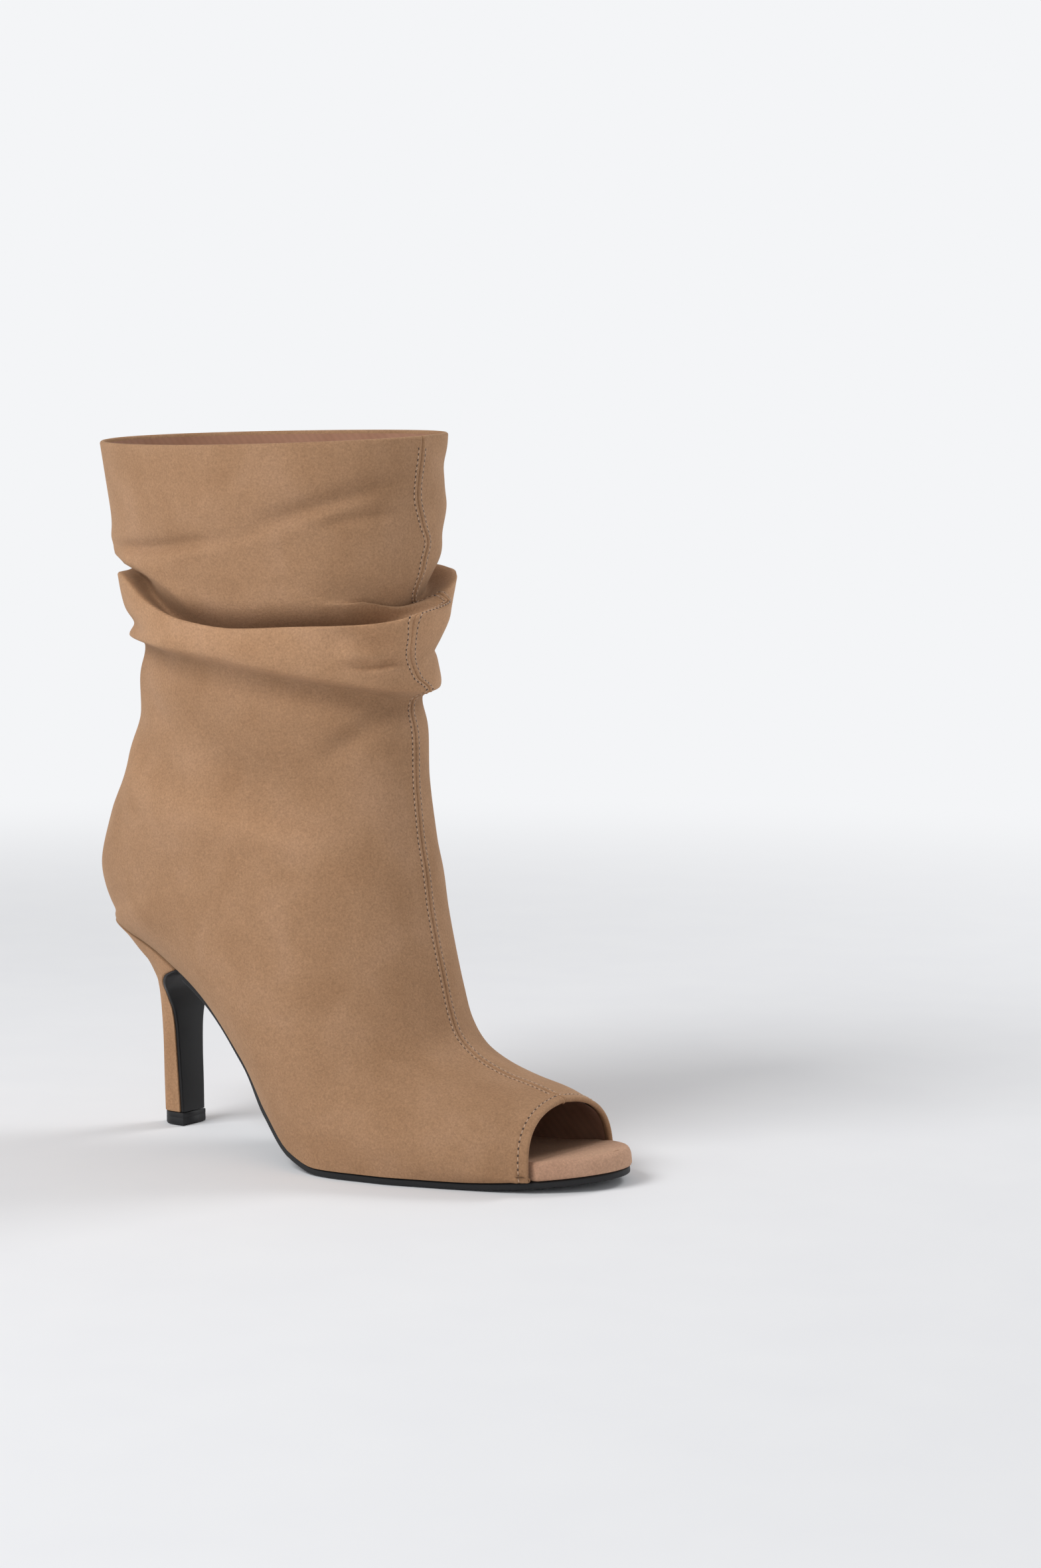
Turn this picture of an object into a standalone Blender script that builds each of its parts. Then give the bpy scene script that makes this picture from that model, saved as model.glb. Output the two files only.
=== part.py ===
"""A right-foot ankle boot with a peep toe, a slouched shaft and a slim covered heel.

Metres. The toe points along +X, the wearer's left along +Y, and Z is up. The origin is the
middle of the face on which the heel stands, on the floor. Six solids: the upper is one hollow
wall, and the insole, outsole, heel, breast cover and top piece follow the same last.
"""
import bmesh
import bpy
import numpy as np

# Lengths of the last, the form that a shoe is built on
FOOT_LENGTH = 0.213         # back of the seat to the tip of the toe
BALL_WIDTH = 0.0775          # feather line, side to side, at its widest
SEAT_HEIGHT = 0.0755         # back edge of the seat above the floor
SEAT_BEHIND_HEEL = 0.0234    # back edge of the seat behind the middle of the top piece
SEAT_ROUND = 0.0215          # how far the rounding of the seat reaches forward
TOE_ROUND = 0.031            # how far the rounding of the toe reaches back
TOE_SPRING = 0.0030          # rise of the tip of the toe off the floor

# Upper
INSTEP_HEIGHT = 0.128        # front of the ankle, where the shaft begins
COLLAR_HEIGHT = 0.2465
COLLAR_LENGTH = 0.134        # collar, front to back
COLLAR_WIDTH = 0.092         # collar, side to side
UPPER_WALL = 0.0018
SLOUCH_DEPTH = 0.0060        # how far the largest fold of the shaft stands out

# Sole and insole
OUTSOLE_THICKNESS = 0.0024
OUTSOLE_INSET = 0.0008       # edge of the outsole inside the feather line
INSOLE_THICKNESS = 0.0030
LIP_THICKNESS = 0.0062       # insole at the peep toe
INSOLE_BEVEL = 0.0022        # top edge of the insole inside its lower edge
INSOLE_EDGE = 0.6            # height of its upright edge, share of its thickness
LIP_FROM = 0.75              # where the insole begins to thicken, share of FOOT_LENGTH
LIP_FULL = 0.90              # and where it has the thickness of the lip

# Heel
TOP_PIECE_WIDTH = 0.0123
TOP_PIECE_DEPTH = 0.0112
TOP_PIECE_HEIGHT = 0.0046
BREAST_COVER_THICKNESS = 0.0012
BREAST_COVER_INSET = 0.0003  # side edges of the breast cover inside the heel's sides

FIT = 0.0003                 # gap between pieces that touch
INSOLE_PLAY = 0.0007         # gap between the insole's edge and the upper's wall
MERGE = 1e-6                 # points closer than this are one
TIP = 1e-4                   # shares of FOOT_LENGTH by which rings stop short of a pointed end

SEAT_EASE = 1.7              # sections averaged each way at the back of the seat
SEAT_EASE_REACH = 3.0        # and how many sections away this fades
LASTED_ROWS = 20             # mesh rows of the upper that end on the feather line
LASTED_CROWDING = 1.3        # above 1 these rows lie closer together at the seat
SHAFT_ROWS = 32              # mesh rows above the seat
UPPER_COLUMNS = 18           # on each side of the front seam
SOLE_STATIONS = 40
HEEL_POINTS = 14             # on each side of the heel, front corner to back
HEEL_SIDE = 0.4              # share of these points on the straight side of the top piece
SEAT_SIDE = 0.45             # share of BREAST_ALONG that the same points cover at the seat

# Bottom of the last. along: share of FOOT_LENGTH from the seat. rise: share of the seat's
# height. spring: share of TOE_SPRING.
BOTTOM = [
    # along, rise,  spring
    (0.000, 1.000, 0.00),
    (0.042, 0.979, 0.00),
    (0.089, 0.938, 0.00),
    (0.136, 0.880, 0.00),
    (0.197, 0.773, 0.00),
    (0.254, 0.650, 0.00),
    (0.301, 0.533, 0.00),
    (0.347, 0.407, 0.00),
    (0.427, 0.196, 0.00),
    (0.502, 0.048, 0.00),
    (0.568, 0.000, 0.00),
    (0.800, 0.000, 0.00),
    (0.900, 0.000, 0.35),
    (1.000, 0.000, 1.00),
]

# Feather line, seen from below. centre and half: shares of BALL_WIDTH, before the ends are
# rounded.
FEATHER = [
    # along, centre, half
    (0.000, 0.000, 0.277),
    (0.099, 0.000, 0.277),
    (0.164, -0.003, 0.277),
    (0.254, -0.019, 0.254),
    (0.347, -0.052, 0.275),
    (0.427, -0.072, 0.362),
    (0.512, -0.073, 0.456),
    (0.596, -0.061, 0.500),
    (0.676, -0.032, 0.497),
    (0.756, -0.010, 0.455),
    (0.831, 0.003, 0.397),
    (0.901, 0.019, 0.348),
    (0.958, 0.045, 0.329),
    (1.000, 0.065, 0.322),
]

# Sections of the upper that end on the feather line, toe first. front: share of FOOT_LENGTH.
# height: share of INSTEP_HEIGHT. foot: where on the feather line it ends, share of
# FOOT_LENGTH. outer, inner: widest, shares of BALL_WIDTH. at: share of the way down where it
# is widest. crown: how round the instep is, 2 for an ellipse.
LASTED = [
    # front, height, foot,  outer, inner, at,   crown
    (0.904, 0.218, 0.9120, 0.300, 0.345, 1.00, 3.2),
    (0.850, 0.242, 0.8545, 0.392, 0.415, 0.88, 3.0),
    (0.793, 0.262, 0.7840, 0.467, 0.456, 0.80, 2.5),
    (0.737, 0.298, 0.6995, 0.530, 0.478, 0.74, 1.9),
    (0.698, 0.352, 0.6103, 0.570, 0.485, 0.70, 1.5),
    (0.681, 0.418, 0.5164, 0.580, 0.485, 0.66, 1.4),
    (0.669, 0.496, 0.4178, 0.580, 0.495, 0.62, 1.5),
    (0.655, 0.586, 0.3239, 0.575, 0.512, 0.58, 1.6),
    (0.642, 0.688, 0.2300, 0.560, 0.520, 0.54, 1.7),
    (0.634, 0.781, 0.1550, 0.542, 0.520, 0.51, 1.8),
    (0.624, 0.867, 0.0798, 0.520, 0.510, 0.50, 1.9),
    (0.619, 0.938, 0.0235, 0.502, 0.500, 0.49, 2.0),
    (0.615, 1.000, 0.0000, 0.485, 0.488, 0.48, 2.0),
]

# Sections of the shaft above the seat. front: share of FOOT_LENGTH. rise: share of the way
# from INSTEP_HEIGHT to the collar. back_rise: share of the way from SEAT_HEIGHT to the collar.
# length: share of COLLAR_LENGTH. outer, inner: shares of COLLAR_WIDTH.
SHAFT = [
    # front, rise,  back_rise, length, outer, inner
    (0.614, 0.035, 0.042, 1.006, 0.405, 0.408),
    (0.614, 0.085, 0.102, 1.026, 0.400, 0.405),
    (0.614, 0.160, 0.213, 0.988, 0.390, 0.400),
    (0.615, 0.236, 0.330, 0.912, 0.388, 0.400),
    (0.617, 0.312, 0.436, 0.875, 0.395, 0.410),
    (0.620, 0.405, 0.541, 0.882, 0.410, 0.425),
    (0.624, 0.557, 0.670, 0.915, 0.440, 0.455),
    (0.630, 0.776, 0.839, 0.970, 0.480, 0.510),
    (0.634, 1.000, 1.000, 1.014, 0.500, 0.545),
]

# Mesh rows of the shaft, close together at the slouch. mark: share of the way through SHAFT.
# rows: share of SHAFT_ROWS below it.
ROW_MARKS = [
    # mark, rows
    (0.000, 0.00),
    (0.480, 0.24),
    (0.890, 0.90),
    (1.000, 1.00),
]
SLOUCH_FROM = 0.42           # the stretch of SHAFT where rows follow the folds
SLOUCH_TO = 1.00
ROW_SWAY = 12.0              # sections moved for each share of height that a fold rises

# Folds of the slouched shaft: each is a ridge, or a crease where it is negative. back, outer,
# front, inner: its height there, shares of COLLAR_HEIGHT. out: share of SLOUCH_DEPTH. above,
# below: how far it fades, shares of COLLAR_HEIGHT. middle, reach: where round the shaft it is
# deepest and how far it reaches, in turns from the front, outer side negative.
FOLDS = [
    # back,  outer, front, inner, out,   above, below, middle, reach
    (0.790, 0.747, 0.762, 0.790, 0.75, 0.010, 0.045, -0.25, 0.30),
    (0.820, 0.767, 0.780, 0.815, -0.85, 0.034, 0.012, -0.22, 0.34),
    (0.848, 0.820, 0.830, 0.850, 0.50, 0.035, 0.012, -0.43, 0.13),
    (0.742, 0.728, 0.720, 0.740, -0.60, 0.015, 0.015, -0.43, 0.10),
    (0.800, 0.765, 0.797, 0.825, 1.50, 0.018, 0.026, 0.13, 0.17),
    (0.840, 0.810, 0.850, 0.866, -0.60, 0.026, 0.018, 0.13, 0.16),
    (0.720, 0.702, 0.656, 0.690, 0.45, 0.035, 0.012, 0.00, 9.00),
    (0.700, 0.680, 0.634, 0.665, -0.35, 0.016, 0.030, 0.00, 9.00),
    (0.730, 0.725, 0.712, 0.715, -0.45, 0.018, 0.018, -0.02, 0.09),
    (0.850, 0.862, 0.930, 0.920, -0.30, 0.030, 0.030, -0.12, 0.20),
    (0.700, 0.550, 0.330, 0.500, 0.22, 0.028, 0.045, -0.26, 0.13),
]

# Edge of the collar, shares of COLLAR_HEIGHT: it dips on the outer side.
COLLAR_EDGE = (0.998, 0.989, 1.002, 1.008)   # back, outer, front, inner
COLLAR_EDGE_FROM = 0.80      # share of COLLAR_HEIGHT above which the shaft follows its edge

# Sections of the heel above the top piece. rise: share of the way up to the seat. front, back,
# width: how far its front, back and sides have gone from the top piece's to the seat's.
HEEL = [
    # rise, front,  back,  width
    (0.000, 0.000, 0.000, 0.000),
    (0.192, -0.035, 0.034, 0.023),
    (0.383, -0.078, 0.065, 0.042),
    (0.560, -0.104, 0.135, 0.075),
    (0.677, -0.113, 0.210, 0.147),
    (0.750, -0.095, 0.350, 0.275),
    (0.824, -0.026, 0.528, 0.459),
    (0.883, 0.130, 0.719, 0.674),
    (0.950, 0.430, 0.888, 0.870),
    (1.000, 1.000, 1.000, 1.000),
]
BREAST_ALONG = 0.190         # top of the heel's front, share of FOOT_LENGTH from the seat


def columns(table):
    return np.array(table, float).T


def smooth(knots, values, at):
    """Curve through a table's points that never swings past them, level between equal ones."""
    at = np.clip(at, knots[0], knots[-1])
    step = np.diff(knots)
    rate = np.diff(values) / step
    slope = np.zeros_like(values)
    product = rate[:-1] * rate[1:]
    turning = product <= 0
    total = np.where(turning, 1.0, rate[:-1] + rate[1:])
    slope[1:-1] = np.where(turning, 0.0, 2 * product / total)
    slope[0] = rate[0]
    slope[-1] = rate[-1]
    i = np.clip(np.searchsorted(knots, at, side="right") - 1, 0, len(step) - 1)
    h = step[i]
    t = (at - knots[i]) / h
    return ((1 + 2 * t) * (1 - t) ** 2 * values[i] + t * (1 - t) ** 2 * h * slope[i]
            + t * t * (3 - 2 * t) * values[i + 1] + t * t * (t - 1) * h * slope[i + 1])


def foot_x(along):
    return along * FOOT_LENGTH - SEAT_BEHIND_HEEL


def bottom_height(along):
    """Height of the bottom of the last, which lies on the outsole."""
    knots, rise, spring = columns(BOTTOM)
    floor = OUTSOLE_THICKNESS + FIT
    seat = smooth(knots, rise, along) * (SEAT_HEIGHT - floor)
    return floor + seat + smooth(knots, spring, along) * TOE_SPRING


def on_bottom(x, y, lift):
    """Points above the bottom of the last by lift, measured square to it."""
    along = (x + SEAT_BEHIND_HEEL) / FOOT_LENGTH
    small = 0.001
    run = 2 * small * FOOT_LENGTH
    slope = (bottom_height(along + small) - bottom_height(along - small)) / run
    length = np.sqrt(1 + slope ** 2)
    return np.stack([x - lift * slope / length, y, bottom_height(along) + lift / length], -1)


def feather(along):
    """Outer and inner side of the feather line, with the seat and the toe rounded."""
    knots, centre, half = columns(FEATHER)
    x = along * FOOT_LENGTH
    seat = np.sqrt(1 - np.clip(1 - x / SEAT_ROUND, 0, 1) ** 2)
    toe = np.sqrt(1 - np.clip(1 - (FOOT_LENGTH - x) / TOE_ROUND, 0, 1) ** 2)
    middle = smooth(knots, centre, along) * BALL_WIDTH
    reach = smooth(knots, half, along) * BALL_WIDTH * seat * toe
    return middle - reach, middle + reach


def edges(along, inset):
    """Both sides of the feather line moved inwards, as x and y of each."""
    x = foot_x(along)
    sides = []
    for sign, y in zip((-1, 1), feather(along)):
        run = np.gradient(x)
        turn = np.gradient(y)
        length = np.hypot(run, turn)
        sides.append((x + sign * inset * turn / length, y - sign * inset * run / length))
    return sides


def add_object(name, points, faces, finish):
    """Object in the boot's collection, its double points merged and its faces turned outwards."""
    mesh = bpy.data.meshes.new(name)
    mesh.from_pydata(np.asarray(points).reshape(-1, 3).tolist(), [], faces)
    mesh.materials.append(finish)
    clean = bmesh.new()
    clean.from_mesh(mesh)
    bmesh.ops.remove_doubles(clean, verts=clean.verts, dist=MERGE)
    bmesh.ops.recalc_face_normals(clean, faces=clean.faces)
    clean.to_mesh(mesh)
    clean.free()
    mesh.shade_smooth()
    mesh.set_sharp_from_angle(angle=np.radians(40))
    obj = bpy.data.objects.new(name, mesh)
    boot.objects.link(obj)
    return obj


def material(name, colour, roughness):
    made = bpy.data.materials.new(name)
    made.use_nodes = True
    shader = made.node_tree.nodes["Principled BSDF"]
    shader.inputs["Base Color"].default_value = (*colour, 1)
    shader.inputs["Roughness"].default_value = roughness
    shader.inputs["Metallic"].default_value = 0
    made.diffuse_color = (*colour, 1)
    return made


def loft(name, rings, finish):
    """Solid through rings of equally many points; each end is closed by strips across it."""
    rings = np.asarray(rings)
    count, size = rings.shape[:2]
    faces = []
    for r in range(count - 1):
        for k in range(size):
            n = (k + 1) % size
            faces.append((r * size + k, r * size + n, (r + 1) * size + n, (r + 1) * size + k))
    last = (count - 1) * size
    for k in range(size // 2 - 1):
        here = (k, k + 1, size - 2 - k, size - 1 - k)
        faces.append(here[::-1])
        faces.append(tuple(last + i for i in here))
    return add_object(name, rings, faces, finish)


def section_lines(s):
    """Front point, end point and measures of the upper's sections at places s in the tables."""
    front, height, foot, outer, inner, at, crown = columns(LASTED)
    s_front, rise, back_rise, length, s_outer, s_inner = columns(SHAFT)
    knots = np.arange(len(front) + len(s_front), dtype=float)
    lasted = knots[:len(front)]
    seat = len(front) - 1

    shaft_z = INSTEP_HEIGHT + rise * (COLLAR_HEIGHT - INSTEP_HEIGHT)
    front_x = smooth(knots, foot_x(np.append(front, s_front)), s)
    front_z = smooth(knots, np.append(height * INSTEP_HEIGHT, shaft_z), s)

    back = knots[seat:]
    back_x = np.append(foot_x(0.0), foot_x(s_front) - length * COLLAR_LENGTH)
    back_z = SEAT_HEIGHT + back_rise * (COLLAR_HEIGHT - SEAT_HEIGHT)
    end_along = smooth(lasted, foot, s)
    on_feather = s <= seat
    end_x = np.where(on_feather, foot_x(end_along), smooth(back, back_x, s))
    end_z = np.where(on_feather, bottom_height(end_along),
                     smooth(back, np.append(SEAT_HEIGHT, back_z), s))
    feather_outer, feather_inner = feather(np.where(on_feather, end_along, 0.0))

    widths = np.append(outer * BALL_WIDTH, s_outer * COLLAR_WIDTH)
    outer_side = smooth(knots, widths, s), -feather_outer
    widths = np.append(inner * BALL_WIDTH, s_inner * COLLAR_WIDTH)
    inner_side = smooth(knots, widths, s), feather_inner
    widest = smooth(knots, np.append(at, np.full(len(s_front), 0.5)), s)
    power = smooth(knots, np.append(crown, np.full(len(s_front), 2.0)), s)
    return (front_x, front_z), (end_x, end_z), outer_side, inner_side, widest, power


def upper_form(s, across):
    """Outer face of the upper without its folds, for places s in the tables of sections.

    across runs from -1 at the outer end over 0 at the front seam to 1 at the inner end. The
    second result is the turn round the shaft, outer side negative.
    """
    (front_x, front_z), (end_x, end_z), outer_side, inner_side, widest, power = section_lines(s)
    width, end_width = np.where(across < 0, outer_side, inner_side)
    width = np.maximum(width, end_width)
    stop = np.pi - np.arcsin(np.clip(end_width / width, 0, 1))
    angle = np.abs(across) * stop
    cosine = np.cos(angle)
    crown = widest * (1 - np.abs(cosine) ** (2 / power))
    deepest = np.maximum(np.abs(np.cos(stop)), MERGE)
    sink = widest + (1 - widest) * np.abs(cosine) / deepest
    share = np.where(angle < np.pi / 2, crown, sink)
    side = np.sign(across)
    points = np.stack([front_x + (end_x - front_x) * share, side * width * np.sin(angle),
                       front_z + (end_z - front_z) * share], -1)
    return points, side * angle / (2 * np.pi)


def eased_form(s, across):
    """The upper's form with the corner rounded where its sections pass the back of the seat."""
    seat = len(LASTED) - 1
    near = np.clip(1 - np.abs(s - seat) / SEAT_EASE_REACH, 0, 1)
    reach = SEAT_EASE * near * near * (3 - 2 * near) * (1 - across ** 4)
    total, weights = 0.0, 0.0
    for step in np.linspace(-0.9, 0.9, 9):
        weight = 1 - step ** 2
        total = total + weight * upper_form(s + step * reach, across)[0]
        weights += weight
    return total / weights, upper_form(s, across)[1]


def outward(points):
    """Level directions that point out of the shaft."""
    across = np.gradient(points, axis=1)
    level = np.stack([-across[..., 1], across[..., 0], np.zeros(across.shape[:2])], -1)
    return -level / np.maximum(np.linalg.norm(level, axis=-1, keepdims=True), MERGE)


def fold_line(back, outer, front, inner, turn):
    """Smooth line round the shaft through four heights."""
    return ((back + outer + front + inner) / 4
            + (front - back) / 2 * np.cos(2 * np.pi * turn)
            + (inner - outer) / 2 * np.sin(2 * np.pi * turn)
            + (front + back - outer - inner) / 4 * np.cos(4 * np.pi * turn))


def tilt_collar(points, turn):
    """Raise and lower the top of the shaft to the line of the collar's edge."""
    height = points[..., 2] / COLLAR_HEIGHT
    share = np.clip((height - COLLAR_EDGE_FROM) / (1 - COLLAR_EDGE_FROM), 0, 1)
    moved = points.copy()
    moved[..., 2] *= 1 + share * (fold_line(*COLLAR_EDGE, turn) - 1)
    return moved


def fold(points, turn):
    """Push the shaft's ridges out and its creases in."""
    height = points[..., 2] / COLLAR_HEIGHT
    push = np.zeros_like(height)
    for back, outer, front, inner, out, above, below, middle, reach in FOLDS:
        gap = height - fold_line(back, outer, front, inner, turn)
        spread = np.where(gap > 0, above, below)
        away = (turn - middle + 0.5) % 1 - 0.5
        push += out * np.exp(-(gap / spread) ** 2 - (away / reach) ** 2)
    return points + push[..., None] * SLOUCH_DEPTH * outward(points)


def mesh_rows(across):
    """Places of the upper's mesh rows. Near the slouch they rise and fall with its first fold."""
    seat = len(LASTED) - 1
    top = seat + len(SHAFT)
    lasted = seat * (1 - (1 - np.linspace(0, 1, LASTED_ROWS)) ** LASTED_CROWDING)
    marks, share = columns(ROW_MARKS)
    shaft = np.interp(np.linspace(0, 1, SHAFT_ROWS + 1)[1:], share, seat + marks * (top - seat))
    s = np.append(lasted, shaft)[:, None]
    low, high = seat + SLOUCH_FROM * (top - seat), seat + SLOUCH_TO * (top - seat)
    near = np.sin(np.pi * np.clip((s - low) / (high - low), 0, 1)) ** 2
    back, outer, front, inner = FOLDS[0][:4]
    line = fold_line(back, outer, front, inner, across[None, :] / 2)
    middle = (back + outer + front + inner) / 4
    return s + near * ROW_SWAY * (line - middle)


def make_upper(finish):
    across = np.linspace(-1, 1, 2 * UPPER_COLUMNS + 1)
    s = mesh_rows(across)
    points, turn = eased_form(s, across[None, :])
    points = tilt_collar(fold(points, turn), turn)
    closed = s[:, 0] >= len(LASTED) - 1
    points[closed, -1] = points[closed, 0]
    rows, size = points.shape[:2]
    faces = []
    for r in range(rows - 1):
        for k in range(size - 1):
            a = r * size + k
            faces.append((a, a + 1, a + size + 1, a + size))
    upper = add_object("upper", points, faces, finish)
    wall = upper.modifiers.new("wall", "SOLIDIFY")
    wall.thickness = UPPER_WALL
    wall.offset = -1
    wall.use_even_offset = True
    return upper


def make_outsole(finish):
    start = BREAST_ALONG + (OUTSOLE_THICKNESS + FIT) / FOOT_LENGTH
    t = np.linspace(0, 1, SOLE_STATIONS)
    along = start + (1 - TIP - start) * np.sin(t * np.pi / 2)
    (left_x, left_y), (right_x, right_y) = edges(along, OUTSOLE_INSET)
    rings = np.stack([
        on_bottom(left_x, left_y, -FIT - OUTSOLE_THICKNESS),
        on_bottom(left_x, left_y, -FIT),
        on_bottom(right_x, right_y, -FIT),
        on_bottom(right_x, right_y, -FIT - OUTSOLE_THICKNESS)], 1)
    return loft("outsole", rings, finish)


def make_insole(finish):
    peep = LASTED[0][2] + 2 * FIT / FOOT_LENGTH
    t = np.linspace(0, np.pi, SOLE_STATIONS)
    inside = TIP + (peep - TIP) * (1 - np.cos(t)) / 2
    t = np.linspace(0, np.pi / 2, SOLE_STATIONS // 3)
    lip = peep + TIP + (1 - 2 * TIP - peep) * np.sin(t)
    rings = []
    for along, inset in ((inside, UPPER_WALL + INSOLE_PLAY), (lip, 0.0)):
        (left_x, left_y), (right_x, right_y) = edges(along, inset)
        (left_tx, left_ty), (right_tx, right_ty) = edges(along, inset + INSOLE_BEVEL)
        grown = np.clip((along - LIP_FROM) / (LIP_FULL - LIP_FROM), 0, 1)
        high = INSOLE_THICKNESS + grown * (LIP_THICKNESS - INSOLE_THICKNESS)
        rings.append(np.stack([
            on_bottom(left_x, left_y, 0.0),
            on_bottom(left_x, left_y, INSOLE_EDGE * high),
            on_bottom(left_tx, left_ty, high),
            on_bottom(right_tx, right_ty, high),
            on_bottom(right_x, right_y, INSOLE_EDGE * high),
            on_bottom(right_x, right_y, 0.0)], 1))
    return loft("insole", np.concatenate(rings), finish)


def heel_rings(front_gap):
    """Rings of the heel, its front moved back by front_gap; each runs from front to back to front."""
    share = np.linspace(0, 1, HEEL_POINTS)
    floor_half = TOP_PIECE_WIDTH / 2
    straight = TOP_PIECE_DEPTH - floor_half
    side = share < HEEL_SIDE
    bend = np.clip((share - HEEL_SIDE) / (1 - HEEL_SIDE), 0, 1) * np.pi / 2
    floor_x = TOP_PIECE_DEPTH / 2 - np.where(side, share / HEEL_SIDE * straight,
                                             straight + floor_half * np.sin(bend))
    floor_y = floor_half * np.cos(bend)
    seat_along = BREAST_ALONG * np.where(side, 1 - share / HEEL_SIDE * SEAT_SIDE,
                                         (1 - SEAT_SIDE) * (1 - np.sin(bend)))
    seat_x = foot_x(seat_along)
    left, right = feather(seat_along)
    rings = []
    for rise, front, back, width in HEEL:
        ring = []
        for sign, seat_y in ((-1, left), (1, right)):
            move = front + (back - front) * share
            x = floor_x + move * (seat_x - floor_x) - front_gap * (1 - share)
            y = sign * floor_y + width * (seat_y - sign * floor_y)
            low = TOP_PIECE_HEIGHT + FIT
            z = low + rise * (bottom_height(seat_along) - FIT - low)
            half = np.stack([x, y, z], -1)
            ring.append(half if sign < 0 else half[::-1])
        rings.append(np.concatenate(ring))
    return np.array(rings)


def make_heel(finish):
    return loft("heel", heel_rings(BREAST_COVER_THICKNESS + FIT), finish)


def make_breast_cover(finish):
    rings = heel_rings(0.0)
    left, right = rings[:, 0], rings[:, -1]
    inset = np.array([0, BREAST_COVER_INSET, 0])
    back = np.array([-BREAST_COVER_THICKNESS, 0, 0])
    return loft("breast_cover", np.stack([left + inset + back, left + inset, right - inset,
                                          right - inset + back], 1), finish)


def make_top_piece(finish):
    ring = heel_rings(0.0)[0]
    low, high = ring.copy(), ring.copy()
    low[:, 2] = 0
    high[:, 2] = TOP_PIECE_HEIGHT
    return loft("top_piece", [low, high], finish)


for old in list(bpy.data.objects):
    bpy.data.objects.remove(old, do_unlink=True)

boot = bpy.data.collections.new("heeled_boot")
bpy.context.scene.collection.children.link(boot)

make_upper(material("tan_suede", (0.36, 0.22, 0.14), 0.9))
make_outsole(material("black_sole", (0.012, 0.012, 0.013), 0.5))
make_insole(material("tan_footbed", (0.35, 0.21, 0.13), 0.9))
make_heel(material("tan_heel_cover", (0.36, 0.22, 0.14), 0.9))
make_breast_cover(material("black_breast", (0.012, 0.012, 0.013), 0.45))
make_top_piece(material("black_rubber", (0.015, 0.015, 0.016), 0.6))
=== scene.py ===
# %% [markdown]
# # A slouched peep-toe ankle boot
#
# A right boot of soft brushed suede cloth. Its parts are an upper with a front seam, a thin lining, a
# covered footbed, a thin black sole, a slim heel covered in the same cloth, a black facing on the
# heel's front, and a rubber top piece that it stands on.
#
# The shape comes from a last, the wooden foot that a shoe is built on. Every piece below starts from
# the same few lengths of that last, so the pieces fit without any pushing about.

import bpy
import numpy as np
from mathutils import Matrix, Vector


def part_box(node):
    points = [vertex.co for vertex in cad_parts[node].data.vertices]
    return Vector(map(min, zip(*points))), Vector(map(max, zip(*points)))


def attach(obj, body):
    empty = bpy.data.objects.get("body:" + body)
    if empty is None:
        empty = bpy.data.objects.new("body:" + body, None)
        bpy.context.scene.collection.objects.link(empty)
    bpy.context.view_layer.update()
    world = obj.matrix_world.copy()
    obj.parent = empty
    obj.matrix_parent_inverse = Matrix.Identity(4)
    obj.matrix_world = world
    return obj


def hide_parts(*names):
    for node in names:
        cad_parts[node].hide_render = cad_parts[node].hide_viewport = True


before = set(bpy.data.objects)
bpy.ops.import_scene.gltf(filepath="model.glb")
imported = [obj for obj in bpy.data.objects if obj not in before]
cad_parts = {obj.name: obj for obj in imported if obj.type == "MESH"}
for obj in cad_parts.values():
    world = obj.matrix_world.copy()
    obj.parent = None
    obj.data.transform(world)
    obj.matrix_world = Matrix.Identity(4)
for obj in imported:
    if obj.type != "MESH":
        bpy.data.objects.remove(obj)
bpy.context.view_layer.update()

# %% [markdown]
# ## Lengths of the last
#
# A shoemaker measures a last by its length, its width at the ball, and the height of the seat, where the
# heel of the foot rests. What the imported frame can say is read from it. The rest is written once here.

# %% Driving lengths, in metres
MM = 0.001
sole_low, sole_high = (np.array(corner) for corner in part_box("outsole"))
top_low, top_high = (np.array(corner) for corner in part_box("top_piece"))

FOOT_LENGTH = 213 * MM           # back of the seat to the tip of the toe
BALL_WIDTH = 77.5 * MM
SEAT_HEIGHT = 75.5 * MM
SEAT_BEHIND_HEEL = 23.4 * MM     # back of the seat behind the middle of the top piece
SEAT_ROUND = 21.5 * MM           # how far the rounding of the seat reaches forward
TOE_ROUND = 31 * MM              # how far the rounding of the toe reaches back
TOE_SPRING = 3 * MM
INSTEP_HEIGHT = 128 * MM         # front of the ankle, where the shaft begins
COLLAR_HEIGHT = 246.5 * MM
COLLAR_LENGTH = 134 * MM
COLLAR_WIDTH = 92 * MM
SLOUCH_DEPTH = 6 * MM
OUTSOLE_THICKNESS = 2.4 * MM
OUTSOLE_INSET = 0.8 * MM         # edge of the sole inside the feather line
INSOLE_THICKNESS = 3 * MM
LIP_THICKNESS = 6.2 * MM         # footbed at the peep toe
TOP_PIECE_HEIGHT = float(top_high[2])
TOP_PIECE_WIDTH = float(top_high[1] - top_low[1])
TOP_PIECE_DEPTH = float(top_high[0] - top_low[0])
BREAST_COVER_THICKNESS = 1.2 * MM
UPPER_WALL = 1.8 * MM
FIT = 0.3 * MM
print("top piece", round(TOP_PIECE_WIDTH / MM, 1), "x", round(TOP_PIECE_DEPTH / MM, 1), "mm")

# %% [markdown]
# ## Tables of sections
#
# A last has no simple formula. Its maker draws a few sections and blends between them, and so do these
# tables: each row is a station, each column a share of one of the lengths above, so that a longer or
# wider boot keeps its character.

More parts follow.
